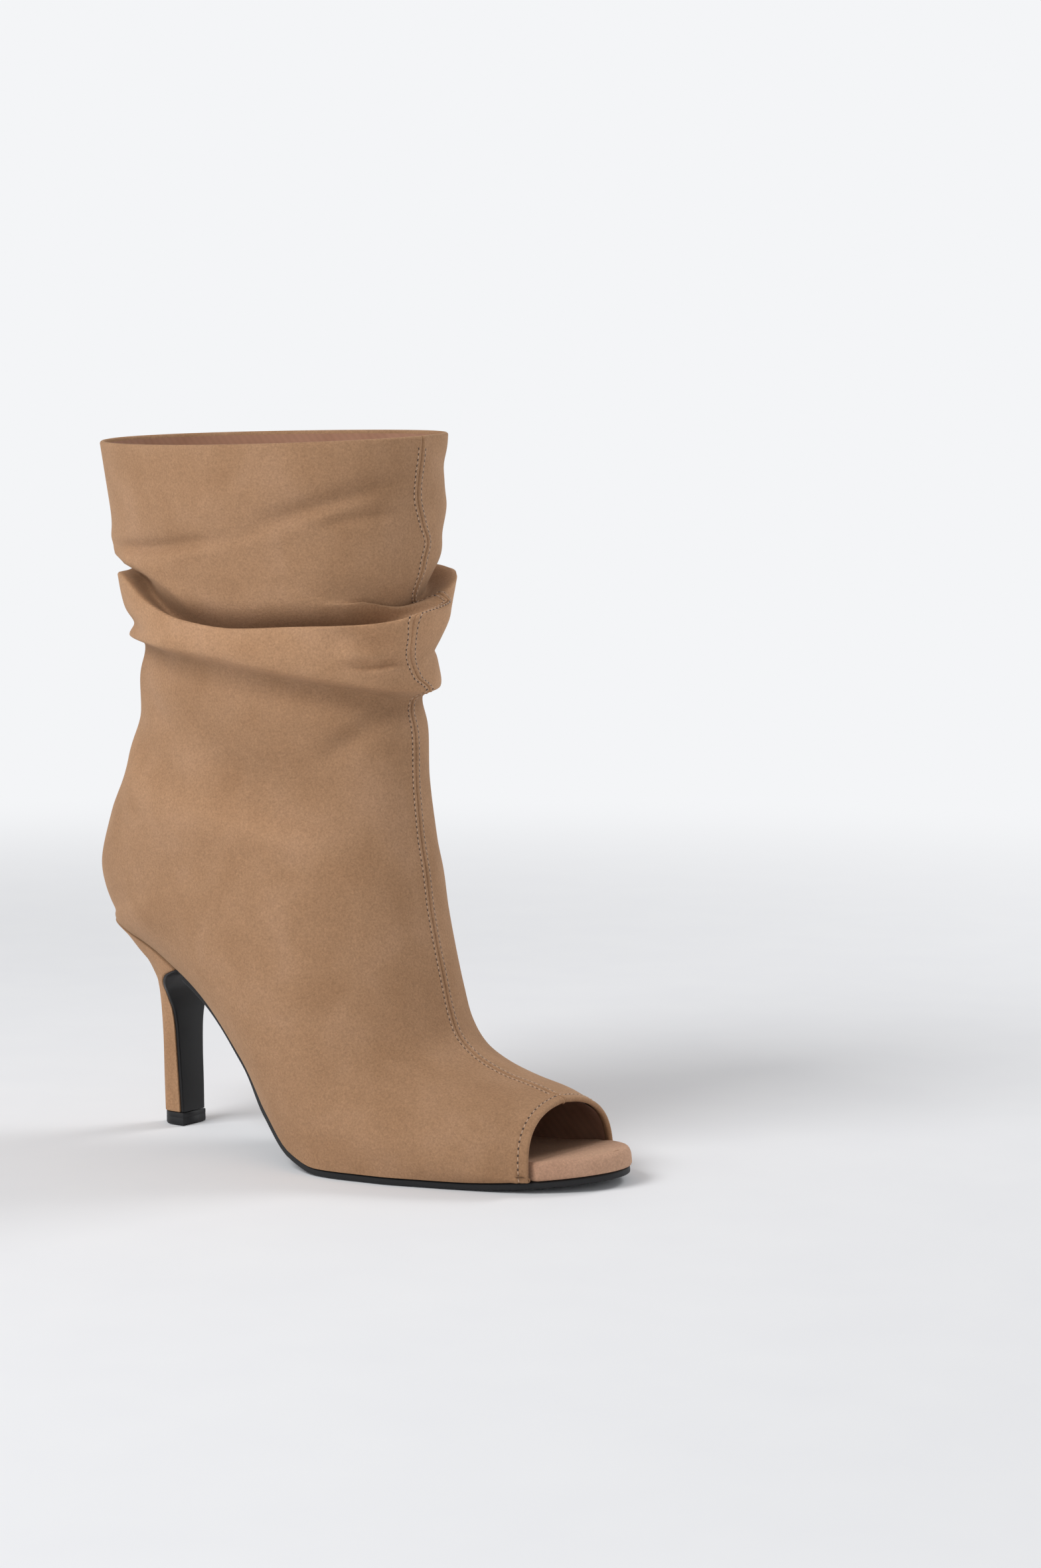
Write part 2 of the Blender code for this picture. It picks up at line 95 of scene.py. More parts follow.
# %% Bottom of the last, its outline and its sections
BOTTOM = [
    # along, rise,  spring
    (0.000, 1.000, 0.00),
    (0.042, 0.979, 0.00),
    (0.089, 0.938, 0.00),
    (0.136, 0.880, 0.00),
    (0.197, 0.773, 0.00),
    (0.254, 0.650, 0.00),
    (0.301, 0.533, 0.00),
    (0.347, 0.407, 0.00),
    (0.427, 0.196, 0.00),
    (0.502, 0.048, 0.00),
    (0.568, 0.000, 0.00),
    (0.800, 0.000, 0.00),
    (0.900, 0.000, 0.35),
    (1.000, 0.000, 1.00),
]
FEATHER = [
    # along, centre, half
    (0.000, 0.000, 0.277),
    (0.099, 0.000, 0.277),
    (0.164, -0.003, 0.277),
    (0.254, -0.019, 0.254),
    (0.347, -0.052, 0.275),
    (0.427, -0.072, 0.362),
    (0.512, -0.073, 0.456),
    (0.596, -0.061, 0.500),
    (0.676, -0.032, 0.497),
    (0.756, -0.010, 0.455),
    (0.831, 0.003, 0.397),
    (0.901, 0.019, 0.348),
    (0.958, 0.045, 0.329),
    (1.000, 0.065, 0.322),
]
LASTED = [
    # front, height, foot,  outer, inner, at,   crown
    (0.904, 0.218, 0.9120, 0.300, 0.345, 1.00, 3.2),
    (0.850, 0.242, 0.8545, 0.392, 0.415, 0.88, 3.0),
    (0.793, 0.262, 0.7840, 0.467, 0.456, 0.80, 2.5),
    (0.737, 0.298, 0.6995, 0.530, 0.478, 0.74, 1.9),
    (0.698, 0.352, 0.6103, 0.570, 0.485, 0.70, 1.5),
    (0.681, 0.418, 0.5164, 0.580, 0.485, 0.66, 1.4),
    (0.669, 0.496, 0.4178, 0.580, 0.495, 0.62, 1.5),
    (0.655, 0.586, 0.3239, 0.575, 0.512, 0.58, 1.6),
    (0.642, 0.688, 0.2300, 0.560, 0.520, 0.54, 1.7),
    (0.634, 0.781, 0.1550, 0.542, 0.520, 0.51, 1.8),
    (0.624, 0.867, 0.0798, 0.520, 0.510, 0.50, 1.9),
    (0.619, 0.938, 0.0235, 0.502, 0.500, 0.49, 2.0),
    (0.615, 1.000, 0.0000, 0.485, 0.488, 0.48, 2.0),
]
SHAFT = [
    # front, rise,  back_rise, length, outer, inner
    (0.614, 0.035, 0.042, 1.006, 0.405, 0.408),
    (0.614, 0.085, 0.102, 1.026, 0.400, 0.405),
    (0.614, 0.160, 0.213, 0.988, 0.390, 0.400),
    (0.615, 0.236, 0.330, 0.912, 0.388, 0.400),
    (0.617, 0.312, 0.436, 0.875, 0.395, 0.410),
    (0.620, 0.405, 0.541, 0.882, 0.410, 0.425),
    (0.624, 0.557, 0.670, 0.915, 0.440, 0.455),
    (0.630, 0.776, 0.839, 0.970, 0.480, 0.510),
    (0.634, 1.000, 1.000, 1.014, 0.500, 0.545),
]
SEAT = len(LASTED) - 1           # the section that passes the back of the seat
TOP = SEAT + len(SHAFT)          # and the collar
print("sections:", len(LASTED), "on the feather line,", len(SHAFT), "above the seat")

# %% [markdown]
# ## A curve through a table
#
# Straight lines between stations would show as facets, and a free spline swings past the stations and
# makes bumps. This curve keeps between its neighbours: its slope at a station is the harmonic mean of
# the slopes on both sides, and level where the table turns.

# %% smooth()
def columns(table):
    return np.array(table, float).T


def smooth(knots, values, at):
    """Cubic between stations: (1+2t)(1-t)^2 v0 + t^2(3-2t) v1, plus the slopes' two terms."""
    at = np.clip(at, knots[0], knots[-1])
    step = np.diff(knots)
    rate = np.diff(values) / step
    slope = np.zeros_like(values)
    product = rate[:-1] * rate[1:]
    turning = product <= 0
    total = np.where(turning, 1.0, rate[:-1] + rate[1:])
    slope[1:-1] = np.where(turning, 0.0, 2 * product / total)
    slope[0] = rate[0]
    slope[-1] = rate[-1]
    i = np.clip(np.searchsorted(knots, at, side="right") - 1, 0, len(step) - 1)
    h = step[i]
    t = (at - knots[i]) / h
    return ((1 + 2 * t) * (1 - t) ** 2 * values[i] + t * (1 - t) ** 2 * h * slope[i]
            + t * t * (3 - 2 * t) * values[i + 1] + t * t * (t - 1) * h * slope[i + 1])


def ramp(value, start, end):
    """0 before start, 1 after end, and 3t^2-2t^3 between them."""
    t = np.clip((value - start) / (end - start), 0, 1)
    return t * t * (3 - 2 * t)


# %% [markdown]
# ## The bottom of the last
#
# The feather line is the edge between the foot's bottom and its sides. The footbed, the sole, the heel's
# top and the lower edge of the upper all follow it, so it is worked out once.

# %% Feather line and bottom
def foot_x(along):
    return along * FOOT_LENGTH - SEAT_BEHIND_HEEL


def bottom_height(along):
    """Height of the last's bottom: the sole's thickness plus a share of the seat's height."""
    knots, rise, spring = columns(BOTTOM)
    floor = OUTSOLE_THICKNESS + FIT
    seat = smooth(knots, rise, along) * (SEAT_HEIGHT - floor)
    return floor + seat + smooth(knots, spring, along) * TOE_SPRING


def on_bottom(x, y, lift):
    """Points lifted square to the bottom: (x, z) moved by lift along the bottom's normal."""
    along = (x + SEAT_BEHIND_HEEL) / FOOT_LENGTH
    small = 0.001
    run = 2 * small * FOOT_LENGTH
    slope = (bottom_height(along + small) - bottom_height(along - small)) / run
    length = np.sqrt(1 + slope ** 2)
    return np.stack(np.broadcast_arrays(x - lift * slope / length, y,
                                        bottom_height(along) + lift / length), -1)


def feather(along):
    """Outer and inner y: centre -/+ half width, with quarter ellipses at the seat and the toe."""
    knots, centre, half = columns(FEATHER)
    x = along * FOOT_LENGTH
    seat = np.sqrt(1 - np.clip(1 - x / SEAT_ROUND, 0, 1) ** 2)
    toe = np.sqrt(1 - np.clip(1 - (FOOT_LENGTH - x) / TOE_ROUND, 0, 1) ** 2)
    middle = smooth(knots, centre, along) * BALL_WIDTH
    reach = smooth(knots, half, along) * BALL_WIDTH * seat * toe
    return middle - reach, middle + reach


print("ball width", np.round(np.diff(feather(np.array([0.62]))[:], axis=0).ravel() / MM, 1), "mm")

# %% [markdown]
# ## The upper over the last
#
# An upper is cut flat and pulled over the last, so its surface runs in smooth arcs from the front seam
# down to the feather line. Each section here is such an arc: it starts at the front, grows to its widest
# and tucks in to the feather line. Above the seat the arcs close behind the heel and become the shaft.

# %% Sections of the upper
POINT = 1e-6 * MM * 1000         # nearer than this is the same point


def section_lines(s):
    """Front point, end point, widths and shape of the sections at places s in the tables."""
    front, height, foot, outer, inner, at, crown = columns(LASTED)
    s_front, rise, back_rise, length, s_outer, s_inner = columns(SHAFT)
    knots = np.arange(TOP + 1, dtype=float)
    shaft_z = INSTEP_HEIGHT + rise * (COLLAR_HEIGHT - INSTEP_HEIGHT)
    front_x = smooth(knots, foot_x(np.append(front, s_front)), s)
    front_z = smooth(knots, np.append(height * INSTEP_HEIGHT, shaft_z), s)

    back_x = np.append(foot_x(0.0), foot_x(s_front) - length * COLLAR_LENGTH)
    back_z = SEAT_HEIGHT + back_rise * (COLLAR_HEIGHT - SEAT_HEIGHT)
    end_along = smooth(knots[:SEAT + 1], foot, s)
    on_feather = s <= SEAT
    end_x = np.where(on_feather, foot_x(end_along), smooth(knots[SEAT:], back_x, s))
    end_z = np.where(on_feather, bottom_height(end_along),
                     smooth(knots[SEAT:], np.append(SEAT_HEIGHT, back_z), s))
    feather_outer, feather_inner = feather(np.where(on_feather, end_along, 0.0))

    widths = np.append(outer * BALL_WIDTH, s_outer * COLLAR_WIDTH)
    outer_side = smooth(knots, widths, s), -feather_outer
    widths = np.append(inner * BALL_WIDTH, s_inner * COLLAR_WIDTH)
    inner_side = smooth(knots, widths, s), feather_inner
    widest = smooth(knots, np.append(at, np.full(len(SHAFT), 0.5)), s)
    power = smooth(knots, np.append(crown, np.full(len(SHAFT), 2.0)), s)
    return (front_x, front_z), (end_x, end_z), outer_side, inner_side, widest, power


def section_arc(s, across):
    """Arc of a section: y = width sin a, and the way from front to end is widest (1 - cos^(2/p) a)
    up to the widest place and runs on with cos a below it. across is -1 at the outer end, 0 at the
    front seam and 1 at the inner end."""
    (front_x, front_z), (end_x, end_z), outer_side, inner_side, widest, power = section_lines(s)
    width, end_width = np.where(across < 0, outer_side, inner_side)
    width = np.maximum(width, end_width)
    stop = np.pi - np.arcsin(np.clip(end_width / width, 0, 1))
    angle = np.abs(across) * stop
    cosine = np.cos(angle)
    crown = widest * (1 - np.abs(cosine) ** (2 / power))
    deepest = np.maximum(np.abs(np.cos(stop)), POINT)
    sink = widest + (1 - widest) * np.abs(cosine) / deepest
    share = np.where(angle < np.pi / 2, crown, sink)
    side = np.sign(across)
    return np.stack([front_x + (end_x - front_x) * share, side * width * np.sin(angle),
                     front_z + (end_z - front_z) * share], -1)


def last_form(s, across):
    """section_arc, averaged over neighbouring sections near the back of the seat, where the fan of
    sections would leave a corner."""
    near = np.clip(1 - np.abs(s - SEAT) / 3.0, 0, 1)
    reach = 1.7 * near * near * (3 - 2 * near) * (1 - np.minimum(across ** 4, 1))
    total, weights = 0.0, 0.0
    for step in np.linspace(-0.9, 0.9, 9):
        weight = 1 - step ** 2
        total = total + weight * section_arc(s + step * reach, across)
        weights += weight
    return total / weights


print("collar:", np.round(np.ptp(last_form(np.full(9, 21.0), np.linspace(-1, 1, 9)), axis=0) / MM, 1), "mm")

# %% [markdown]
# ## How the shaft slouches
#
# The cloth is soft, and the shaft is longer than the leg, so it sinks into folds. Two kinds show here.
# Soft folds are rounded ridges and hollows. Lips are folds where the lower cloth bulges, doubles back
# and the cloth above disappears behind it: their profile is an S, so it can't be a height map. Each fold
# is a row or a table in the places where it crosses the front, sides and back.

# %% Soft folds right round the shaft
SOFT_FOLDS = [
    # back,  outer, front, inner, out,   above, below, middle, reach
    (0.848, 0.820, 0.830, 0.850, 0.45, 0.035, 0.012, -0.43, 0.13),
    (0.742, 0.728, 0.720, 0.740, -0.55, 0.015, 0.015, -0.43, 0.10),
    (0.720, 0.702, 0.656, 0.690, 0.52, 0.035, 0.0055, 0.00, 9.00),
    (0.705, 0.687, 0.641, 0.672, -0.50, 0.010, 0.030, 0.00, 9.00),
    (0.850, 0.862, 0.930, 0.920, -0.25, 0.030, 0.030, -0.12, 0.20),
    (0.700, 0.550, 0.330, 0.500, 0.22, 0.028, 0.045, -0.26, 0.13),
]
COLLAR_EDGE = (0.998, 0.989, 1.002, 1.008)   # back, outer, front, inner
COLLAR_EDGE_FROM = 0.80

# %% Lips: the cloth doubles back along these lines
# turn: place round the shaft from the front, outer side negative. crest: height, share of
# COLLAR_HEIGHT. stand, tuck, swing: how far the lower cloth stands out, the upper cloth is tucked in,
# and both pass each other, in millimetres.
OUTER_LIP = [
    # turn, crest, stand, tuck, swing
    (-0.500, 0.812, 1.0, 2.0, 0.0),
    (-0.430, 0.812, 2.2, 4.0, 1.6),
    (-0.375, 0.806, 3.4, 5.4, 3.6),
    (-0.345, 0.790, 3.9, 6.4, 4.8),
    (-0.312, 0.768, 4.3, 7.2, 5.4),
    (-0.271, 0.751, 4.7, 7.8, 5.8),
    (-0.217, 0.742, 4.8, 8.0, 6.2),
    (-0.154, 0.746, 4.6, 8.0, 6.2),
    (-0.100, 0.748, 4.2, 7.6, 5.8),
    (-0.054, 0.753, 3.6, 6.4, 5.2),
    (0.000, 0.762, 2.6, 5.0, 4.4),
    (0.054, 0.769, 1.4, 3.0, 2.6),
    (0.130, 0.775, 0.0, 0.0, 0.0),
    (0.350, 0.795, 0.0, 0.0, 0.0),
]
INNER_LIP = [
    # turn, crest, stand, tuck, swing
    (-0.500, 0.790, 0.0, 0.0, 0.0),
    (-0.150, 0.776, 0.0, 0.0, 0.0),
    (-0.110, 0.779, 1.4, 1.6, 2.0),
    (-0.050, 0.782, 3.2, 3.6, 4.4),
    (0.000, 0.791, 4.8, 4.6, 5.2),
    (0.070, 0.805, 7.4, 5.0, 5.2),
    (0.150, 0.818, 8.2, 5.0, 4.8),
    (0.250, 0.824, 5.6, 3.6, 3.4),
    (0.360, 0.822, 2.0, 1.2, 1.4),
    (0.430, 0.806, 0.0, 0.0, 0.0),
]
LIP_STEP = 3.2 * MM              # from a lip's middle to its crest, along the cloth
LIP_BELLY = 3.4                  # how far the bulge below fades, in steps
LIP_RECESS = 1.35                # and the tucked cloth above

# %% Short folds and creases, each one stroke
# turn, height: its two ends. bow: how far it bends, out: ridge, or crease if negative. above, below:
# half widths. All in millimetres but turn and height, a share of COLLAR_HEIGHT.
STROKES = [
    # turn,  height, turn,   height, bow,  out,  above, below
    (-0.440, 0.852, -0.190, 0.876, -3.0, -2.1, 2.6, 2.2),
    (-0.205, 0.870, -0.020, 0.955, 2.0, -1.7, 3.4, 2.4),
    (-0.300, 0.836, -0.050, 0.915, 1.0, 1.7, 4.0, 5.0),
    (-0.130, 0.886, -0.035, 0.905, 1.0, -1.4, 2.0, 2.4),
    (-0.440, 0.845, -0.325, 0.815, 1.0, 1.3, 5.0, 1.0),
    (-0.440, 0.834, -0.325, 0.804, 1.0, -1.6, 1.2, 2.0),
    (-0.330, 0.815, -0.268, 0.762, 2.0, 1.2, 5.0, 1.0),
    (-0.450, 0.590, -0.120, 0.445, -5.0, 2.2, 6.0, 10.0),
    (-0.380, 0.655, -0.130, 0.520, -4.0, -1.7, 8.0, 5.0),
    (-0.030, 0.645, -0.130, 0.560, 1.0, -1.7, 4.5, 4.0),
    (-0.200, 0.640, -0.070, 0.600, 1.0, 0.9, 6.0, 5.0),
    (-0.085, 0.729, -0.032, 0.722, 0.0, 1.7, 2.2, 2.2),
    (-0.115, 0.707, -0.068, 0.700, 0.0, 1.6, 2.2, 2.0),
    (-0.083, 0.685, -0.042, 0.687, 0.0, 1.4, 1.8, 1.8),
    (-0.125, 0.717, -0.055, 0.712, 0.0, -1.7, 1.6, 1.6),
    (-0.105, 0.694, -0.035, 0.697, 0.0, -1.5, 1.4, 1.4),
    (-0.280, 0.722, -0.130, 0.726, -1.0, -0.8, 3.0, 2.0),
    (0.020, 0.745, 0.160, 0.770, 2.0, -1.4, 3.0, 2.4),
    (0.030, 0.698, 0.210, 0.726, 1.5, -1.4, 2.6, 2.4),
    (0.060, 0.962, 0.330, 0.950, 1.0, -1.6, 4.0, 4.0),
    (0.080, 0.905, 0.330, 0.900, 1.0, 2.0, 5.0, 5.0),
    (0.080, 0.868, 0.340, 0.862, 1.0, -1.8, 3.4, 3.0),
    (0.300, 0.915, 0.470, 0.880, 2.0, -1.3, 4.0, 3.0),
    (0.260, 0.770, 0.460, 0.752, -2.0, -1.6, 2.6, 2.8),
    (0.220, 0.742, 0.420, 0.712, 2.0, 1.4, 4.0, 3.0),
    (0.320, 0.655, 0.490, 0.690, 2.0, -1.2, 4.0, 4.0),
    (0.140, 0.560, 0.380, 0.620, 3.0, 1.4, 7.0, 8.0),
    (0.100, 0.500, 0.340, 0.545, 3.0, -1.0, 7.0, 6.0),
]
SHAFT_ROUND = 300 * MM           # about once round the shaft, to turn shares into lengths
print(len(SOFT_FOLDS), "soft folds, 2 lips,", len(STROKES), "strokes")

# %% Profiles of the folds
def once_round(table, turn):
    """The table's columns as smooth closed curves round the shaft."""
    data = columns(table)
    knots = np.concatenate([data[0] - 1, data[0], data[0] + 1])
    return [smooth(knots, np.tile(values, 3), turn) for values in data[1:]]


def line_round(back, outer, front, inner, turn):
    """Height round the shaft through four places: their mean, two waves of one turn, one of half."""
    return ((back + outer + front + inner) / 4
            + (front - back) / 2 * np.cos(2 * np.pi * turn)
            + (inner - outer) / 2 * np.sin(2 * np.pi * turn)
            + (front + back - outer - inner) / 4 * np.cos(4 * np.pi * turn))


def soft_push(height, turn):
    """Sum of ridges out exp(-(gap/spread)^2 - (away/reach)^2)."""
    push = np.zeros_like(height)
    for back, outer, front, inner, out, above, below, middle, reach in SOFT_FOLDS:
        gap = height - line_round(back, outer, front, inner, turn)
        spread = np.where(gap > 0, above, below)
        away = (turn - middle + 0.5) % 1 - 0.5
        push += out * np.exp(-(gap / spread) ** 2 - (away / reach) ** 2)
    return push * SLOUCH_DEPTH


def stroke_push(height, turn):
    """Sum of strokes: out exp(-(d/width)^2) fading to nothing at both ends, where d is the distance
    from a chord bent by 4t(1-t) bow."""
    push = np.zeros_like(height)
    for turn_0, height_0, turn_1, height_1, bow, out, above, below in STROKES:
        run = np.array([(turn_1 - turn_0) * SHAFT_ROUND, (height_1 - height_0) * COLLAR_HEIGHT])
        length = np.hypot(*run)
        x = ((turn - turn_0 + 0.5) % 1 - 0.5) * SHAFT_ROUND
        z = (height - height_0) * COLLAR_HEIGHT
        t = (x * run[0] + z * run[1]) / length ** 2
        side = np.sign(run[0]) * (z * run[0] - x * run[1]) / length
        side = side - 4 * t * (1 - t) * bow * MM
        width = np.where(side > 0, above, below) * MM
        ends = ramp(t, -0.15, 0.3) * (1 - ramp(t, 0.7, 1.15))
        push += out * MM * ends * np.exp(-(side / width) ** 2)
    return push


def lip_move(table, height, turn):
    """Outward and upward move of a lip. With u the height from its middle in steps, the cloth stands
    out by exp(-((u+1)/belly)^2) below, is tucked in by exp(-((u-1)/recess)^2) above, and moves up and
    down by -u exp((1-u^2)/2), so that it passes itself."""
    crest, stand, tuck, swing = once_round(table, turn)
    stand, tuck, swing = stand * MM, tuck * MM, swing * MM
    middle = crest * COLLAR_HEIGHT - np.maximum(swing - LIP_STEP, 0)
    u = (height * COLLAR_HEIGHT - middle) / LIP_STEP
    below = stand * np.exp(-((u + 1) / LIP_BELLY) ** 2)
    above = -tuck * np.exp(-((u - 1) / LIP_RECESS) ** 2)
    between = stand - (stand + tuck) * ramp(u, -1, 1)
    out = np.where(u < -1, below, np.where(u > 1, above, between))
    return out, -swing * u * np.exp((1 - u * u) / 2), tuck * np.exp(-(u / 3.4) ** 2)


def tilt_collar(points, turn):
    height = points[..., 2] / COLLAR_HEIGHT
    share = np.clip((height - COLLAR_EDGE_FROM) / (1 - COLLAR_EDGE_FROM), 0, 1)
    points[..., 2] *= 1 + share * (line_round(*COLLAR_EDGE, turn) - 1)
    return points


def shaft_out(s, across):
    """Level direction out of the form, square to its run round the section."""
    small = 1e-3
    run = last_form(s, across + small) - last_form(s, across - small)
    level = np.stack([run[..., 1], -run[..., 0], np.zeros(run.shape[:-1])], -1)
    return level / np.maximum(np.linalg.norm(level, axis=-1, keepdims=True), POINT)


def slouched(s, across, lips=1.0, folds=1.0):
    """Form of the last with its folds. With lips 0 it is the smooth form just inside them. The second
    result is how far a place stands out, for worn ridges and shaded creases."""
    points = last_form(s, across)
    turn = across / 2
    height = points[..., 2] / COLLAR_HEIGHT
    shaft = ramp(s + 0 * across, 8.0, 12.0)
    out = folds * (soft_push(height, turn) + shaft * stroke_push(height, turn))
    up = 0
    for table in (OUTER_LIP, INNER_LIP):
        lip_out, lip_up, inside = lip_move(table, height, turn)
        out = out + lips * lip_out - (1 - lips) * inside
        up = up + lips * lip_up
    points = points + out[..., None] * shaft_out(s, across)
    points[..., 2] += up
    return tilt_collar(points, turn), out


# %% [markdown]
# ## A grid of points into a mesh
#
# Every piece here is a grid: rows one way, columns the other, as whole arrays. One helper joins the
# grid's neighbours with quads and writes them in one go, and merges the points where a grid meets
# itself, so that no seam stays open.

# %% add_grid()
def grid_faces(rows, size, ring=False):
    """Quads between neighbours, counter-clockwise where rows run up and columns run to the right."""
    corner = np.arange(rows * size).reshape(rows, size)
    if ring:
        corner = np.concatenate([corner, corner[:, :1]], 1)
    return np.stack([corner[:-1, :-1], corner[:-1, 1:], corner[1:, 1:], corner[1:, :-1]], -1).reshape(-1, 4)


def add_piece(name, points, faces, finish, values=None):
    """Mesh at the origin from an array of points and one of quads, smooth, its doubles merged."""
    import bmesh
    mesh = bpy.data.meshes.new(name)
    flat = np.ascontiguousarray(points, dtype=np.float32).reshape(-1, 3)
    mesh.from_pydata(flat, [], faces.tolist())
    for label, value in (values or {}).items():
        layer = mesh.attributes.new(label, "FLOAT", "POINT")
        layer.data.foreach_set("value", np.asarray(value, np.float32).ravel())
    work = bmesh.new()
    work.from_mesh(mesh)
    bmesh.ops.remove_doubles(work, verts=work.verts, dist=2e-6)
    bmesh.ops.dissolve_degenerate(work, edges=work.edges, dist=1e-7)
    work.to_mesh(mesh)
    work.free()
    mesh.materials.append(finish)
    mesh.shade_smooth()
    piece = bpy.data.objects.new(name, mesh)
    bpy.context.scene.collection.objects.link(piece)
    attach(piece, "root")
    print(name, len(mesh.vertices), "points,", sum(len(p.vertices) - 2 for p in mesh.polygons), "triangles")
    return piece


def closed_loft(rings):
    """Faces of a tube of rings, its two ends closed with strips across, as indices into rings."""
    count, size = rings.shape[:2]
    k = np.arange(size // 2 - 1)
    end = np.stack([k, k + 1, size - 2 - k, size - 1 - k], -1)
    return np.concatenate([grid_faces(count, size, ring=True), end[:, ::-1], end + (count - 1) * size])


def unit(vectors):
    return vectors / np.maximum(np.linalg.norm(vectors, axis=-1, keepdims=True), 1e-12)


def grid_normals(points):
    """Cross product of the steps along the columns and up the rows."""
    return unit(np.cross(np.gradient(points, axis=1), np.gradient(points, axis=0)))


# %% [markdown]
# ## Finishes
#
# Colours are written as the sRGB hex values that a picture editor shows. Light adds up in linear values,
# so one function turns them over. One more small function adds a shader node with its settings and its
# links, which keeps each material a readable list.

# %% Colour and node helpers
def linear(code, alpha=1.0):
    """sRGB hex to linear: c/12.92 below 0.04045, ((c+0.055)/1.055)^2.4 above."""
    value = np.array([int(code[i:i + 2], 16) for i in (1, 3, 5)]) / 255
    value = np.where(value <= 0.04045, value / 12.92, ((value + 0.055) / 1.055) ** 2.4)
    return (*value.tolist(), alpha)


def node(material, kind, inputs, **settings):
    """A shader node; inputs go by name or number, to a value or from another node's output."""
    tree = material.node_tree
    made = tree.nodes.new(kind)
    for name, value in settings.items():
        setattr(made, name, value)
    for name, value in inputs.items():
        if isinstance(value, bpy.types.NodeSocket):
            tree.links.new(value, made.inputs[name])
        else:
            made.inputs[name].default_value = value
    return made


def new_material(name):
    material = bpy.data.materials.new(name)
    material.use_nodes = True
    material.node_tree.nodes.clear()
    return material


def per_metre(millimetres):
    """A texture's scale, in repeats per metre, from the size of one repeat."""
    return 1000 / millimetres


def finish_with(material, shader):
    node(material, "ShaderNodeOutputMaterial", {"Surface": shader.outputs[0]})
    return material


# %% [markdown]
# ### Brushed microfibre suede
#
# Suede cloth is a felt of very fine fibres, brushed until it has a nap. Light sinks into the nap, so there
# is no shine, only a pale bloom where it is seen edge on: that is the shader's sheen. The nap lies this way
# and that and gives soft clouds, darker and lighter, about a centimetre across. Ridges that get handled are
# a little paler, and the creases are painted darker: painted shade.

# %% suede_cloth()
def suede_cloth(name, deep, body, bloom, folded=False):
    """Brushed microfibre: clouds of nap, short strokes, fibre grain, and the fold's shade on top."""
    material = new_material(name)
    place = node(material, "ShaderNodeTexCoord", {}).outputs["Object"]
    clouds = node(material, "ShaderNodeTexNoise", {
        "Vector": place, "Scale": per_metre(22), "Detail": 2.0, "Roughness": 0.5, "Distortion": 0.3})
    strokes = node(material, "ShaderNodeTexNoise", {
        "Vector": place, "Scale": per_metre(2.6), "Detail": 3.0, "Roughness": 0.6, "Distortion": 1.6})
    fibres = node(material, "ShaderNodeTexNoise", {
        "Vector": place, "Scale": per_metre(0.75), "Detail": 3.0, "Roughness": 0.7})
    nap = node(material, "ShaderNodeValToRGB", {"Fac": clouds.outputs[0]})
    nap.color_ramp.elements[0].position = 0.30
    nap.color_ramp.elements[0].color = linear(deep)
    nap.color_ramp.elements[1].position = 0.70
    nap.color_ramp.elements[1].color = linear(bloom)
    middle = nap.color_ramp.elements.new(0.5)
    middle.color = linear(body)
    brushed = node(material, "ShaderNodeMix", {
        0: 0.45, 6: linear(body), 7: nap.outputs[0]}, data_type="RGBA")
    shade = node(material, "ShaderNodeMapRange", {
        0: strokes.outputs[0], 1: 0.25, 2: 0.75, 3: 0.93, 4: 1.06})
    grain = node(material, "ShaderNodeMapRange", {
        0: fibres.outputs[0], 1: 0.25, 2: 0.75, 3: 0.78, 4: 1.18})
    value = node(material, "ShaderNodeMath", {0: shade.outputs[0], 1: grain.outputs[0]}, operation="MULTIPLY")
    # Painted shade from the fold attribute: creases go down to 0.72 of the colour, and ridges that stand out go up to
    # 1.06, paler as worn cloth is.
    if folded:
        fold = node(material, "ShaderNodeAttribute", {}, attribute_name="fold")
        crease_shade_and_ridge_wear = node(material, "ShaderNodeMapRange", {0: fold.outputs["Fac"], 1: -1.0, 2: 1.0, 3: 0.72, 4: 1.06})
        value = node(material, "ShaderNodeMath", {0: value.outputs[0], 1: crease_shade_and_ridge_wear.outputs[0]}, operation="MULTIPLY")
    colour = node(material, "ShaderNodeHueSaturation", {"Value": value.outputs[0], "Color": brushed.outputs[2]})
    nubs = node(material, "ShaderNodeBump", {
        "Height": strokes.outputs[0], "Strength": 0.5, "Distance": 0.25 * MM})
    felt = node(material, "ShaderNodeBump", {
        "Height": fibres.outputs[0], "Strength": 0.7, "Distance": 0.14 * MM, "Normal": nubs.outputs[0]})
    cloth = node(material, "ShaderNodeBsdfPrincipled", {
        "Base Color": colour.outputs[0], "Roughness": 0.94, "Normal": felt.outputs[0],
        "Specular IOR Level": 0.2, "Sheen Weight": 0.16, "Sheen Roughness": 0.5, "Sheen Tint": linear("#e9c9a8")})
    return finish_with(material, cloth)


tan_suede = suede_cloth("brushed_microfibre_suede", "#9a7454", "#aa8464", "#b69072", folded=True)
footbed_suede = suede_cloth("pigskin_suede_footbed", "#a47e66", "#b89178", "#c29c82")
heel_suede = suede_cloth("suede_heel_cover", "#9a7454", "#a98363", "#b48e70")


# %% [markdown]
# ### Lining, thread and the black pieces
#
# The lining is a thin woven cloth with a fine diagonal. Its real threads are about 0.3 mm apart, too fine
# for the picture, so the diagonal is drawn at 0.9 mm. The thread is tan polyester, with a slight shine.
# The sole is a thin black rubber sheet with a pebbled face. The facing on the heel's front is a smooth
# black plastic sheet, and the top piece is moulded black rubber.

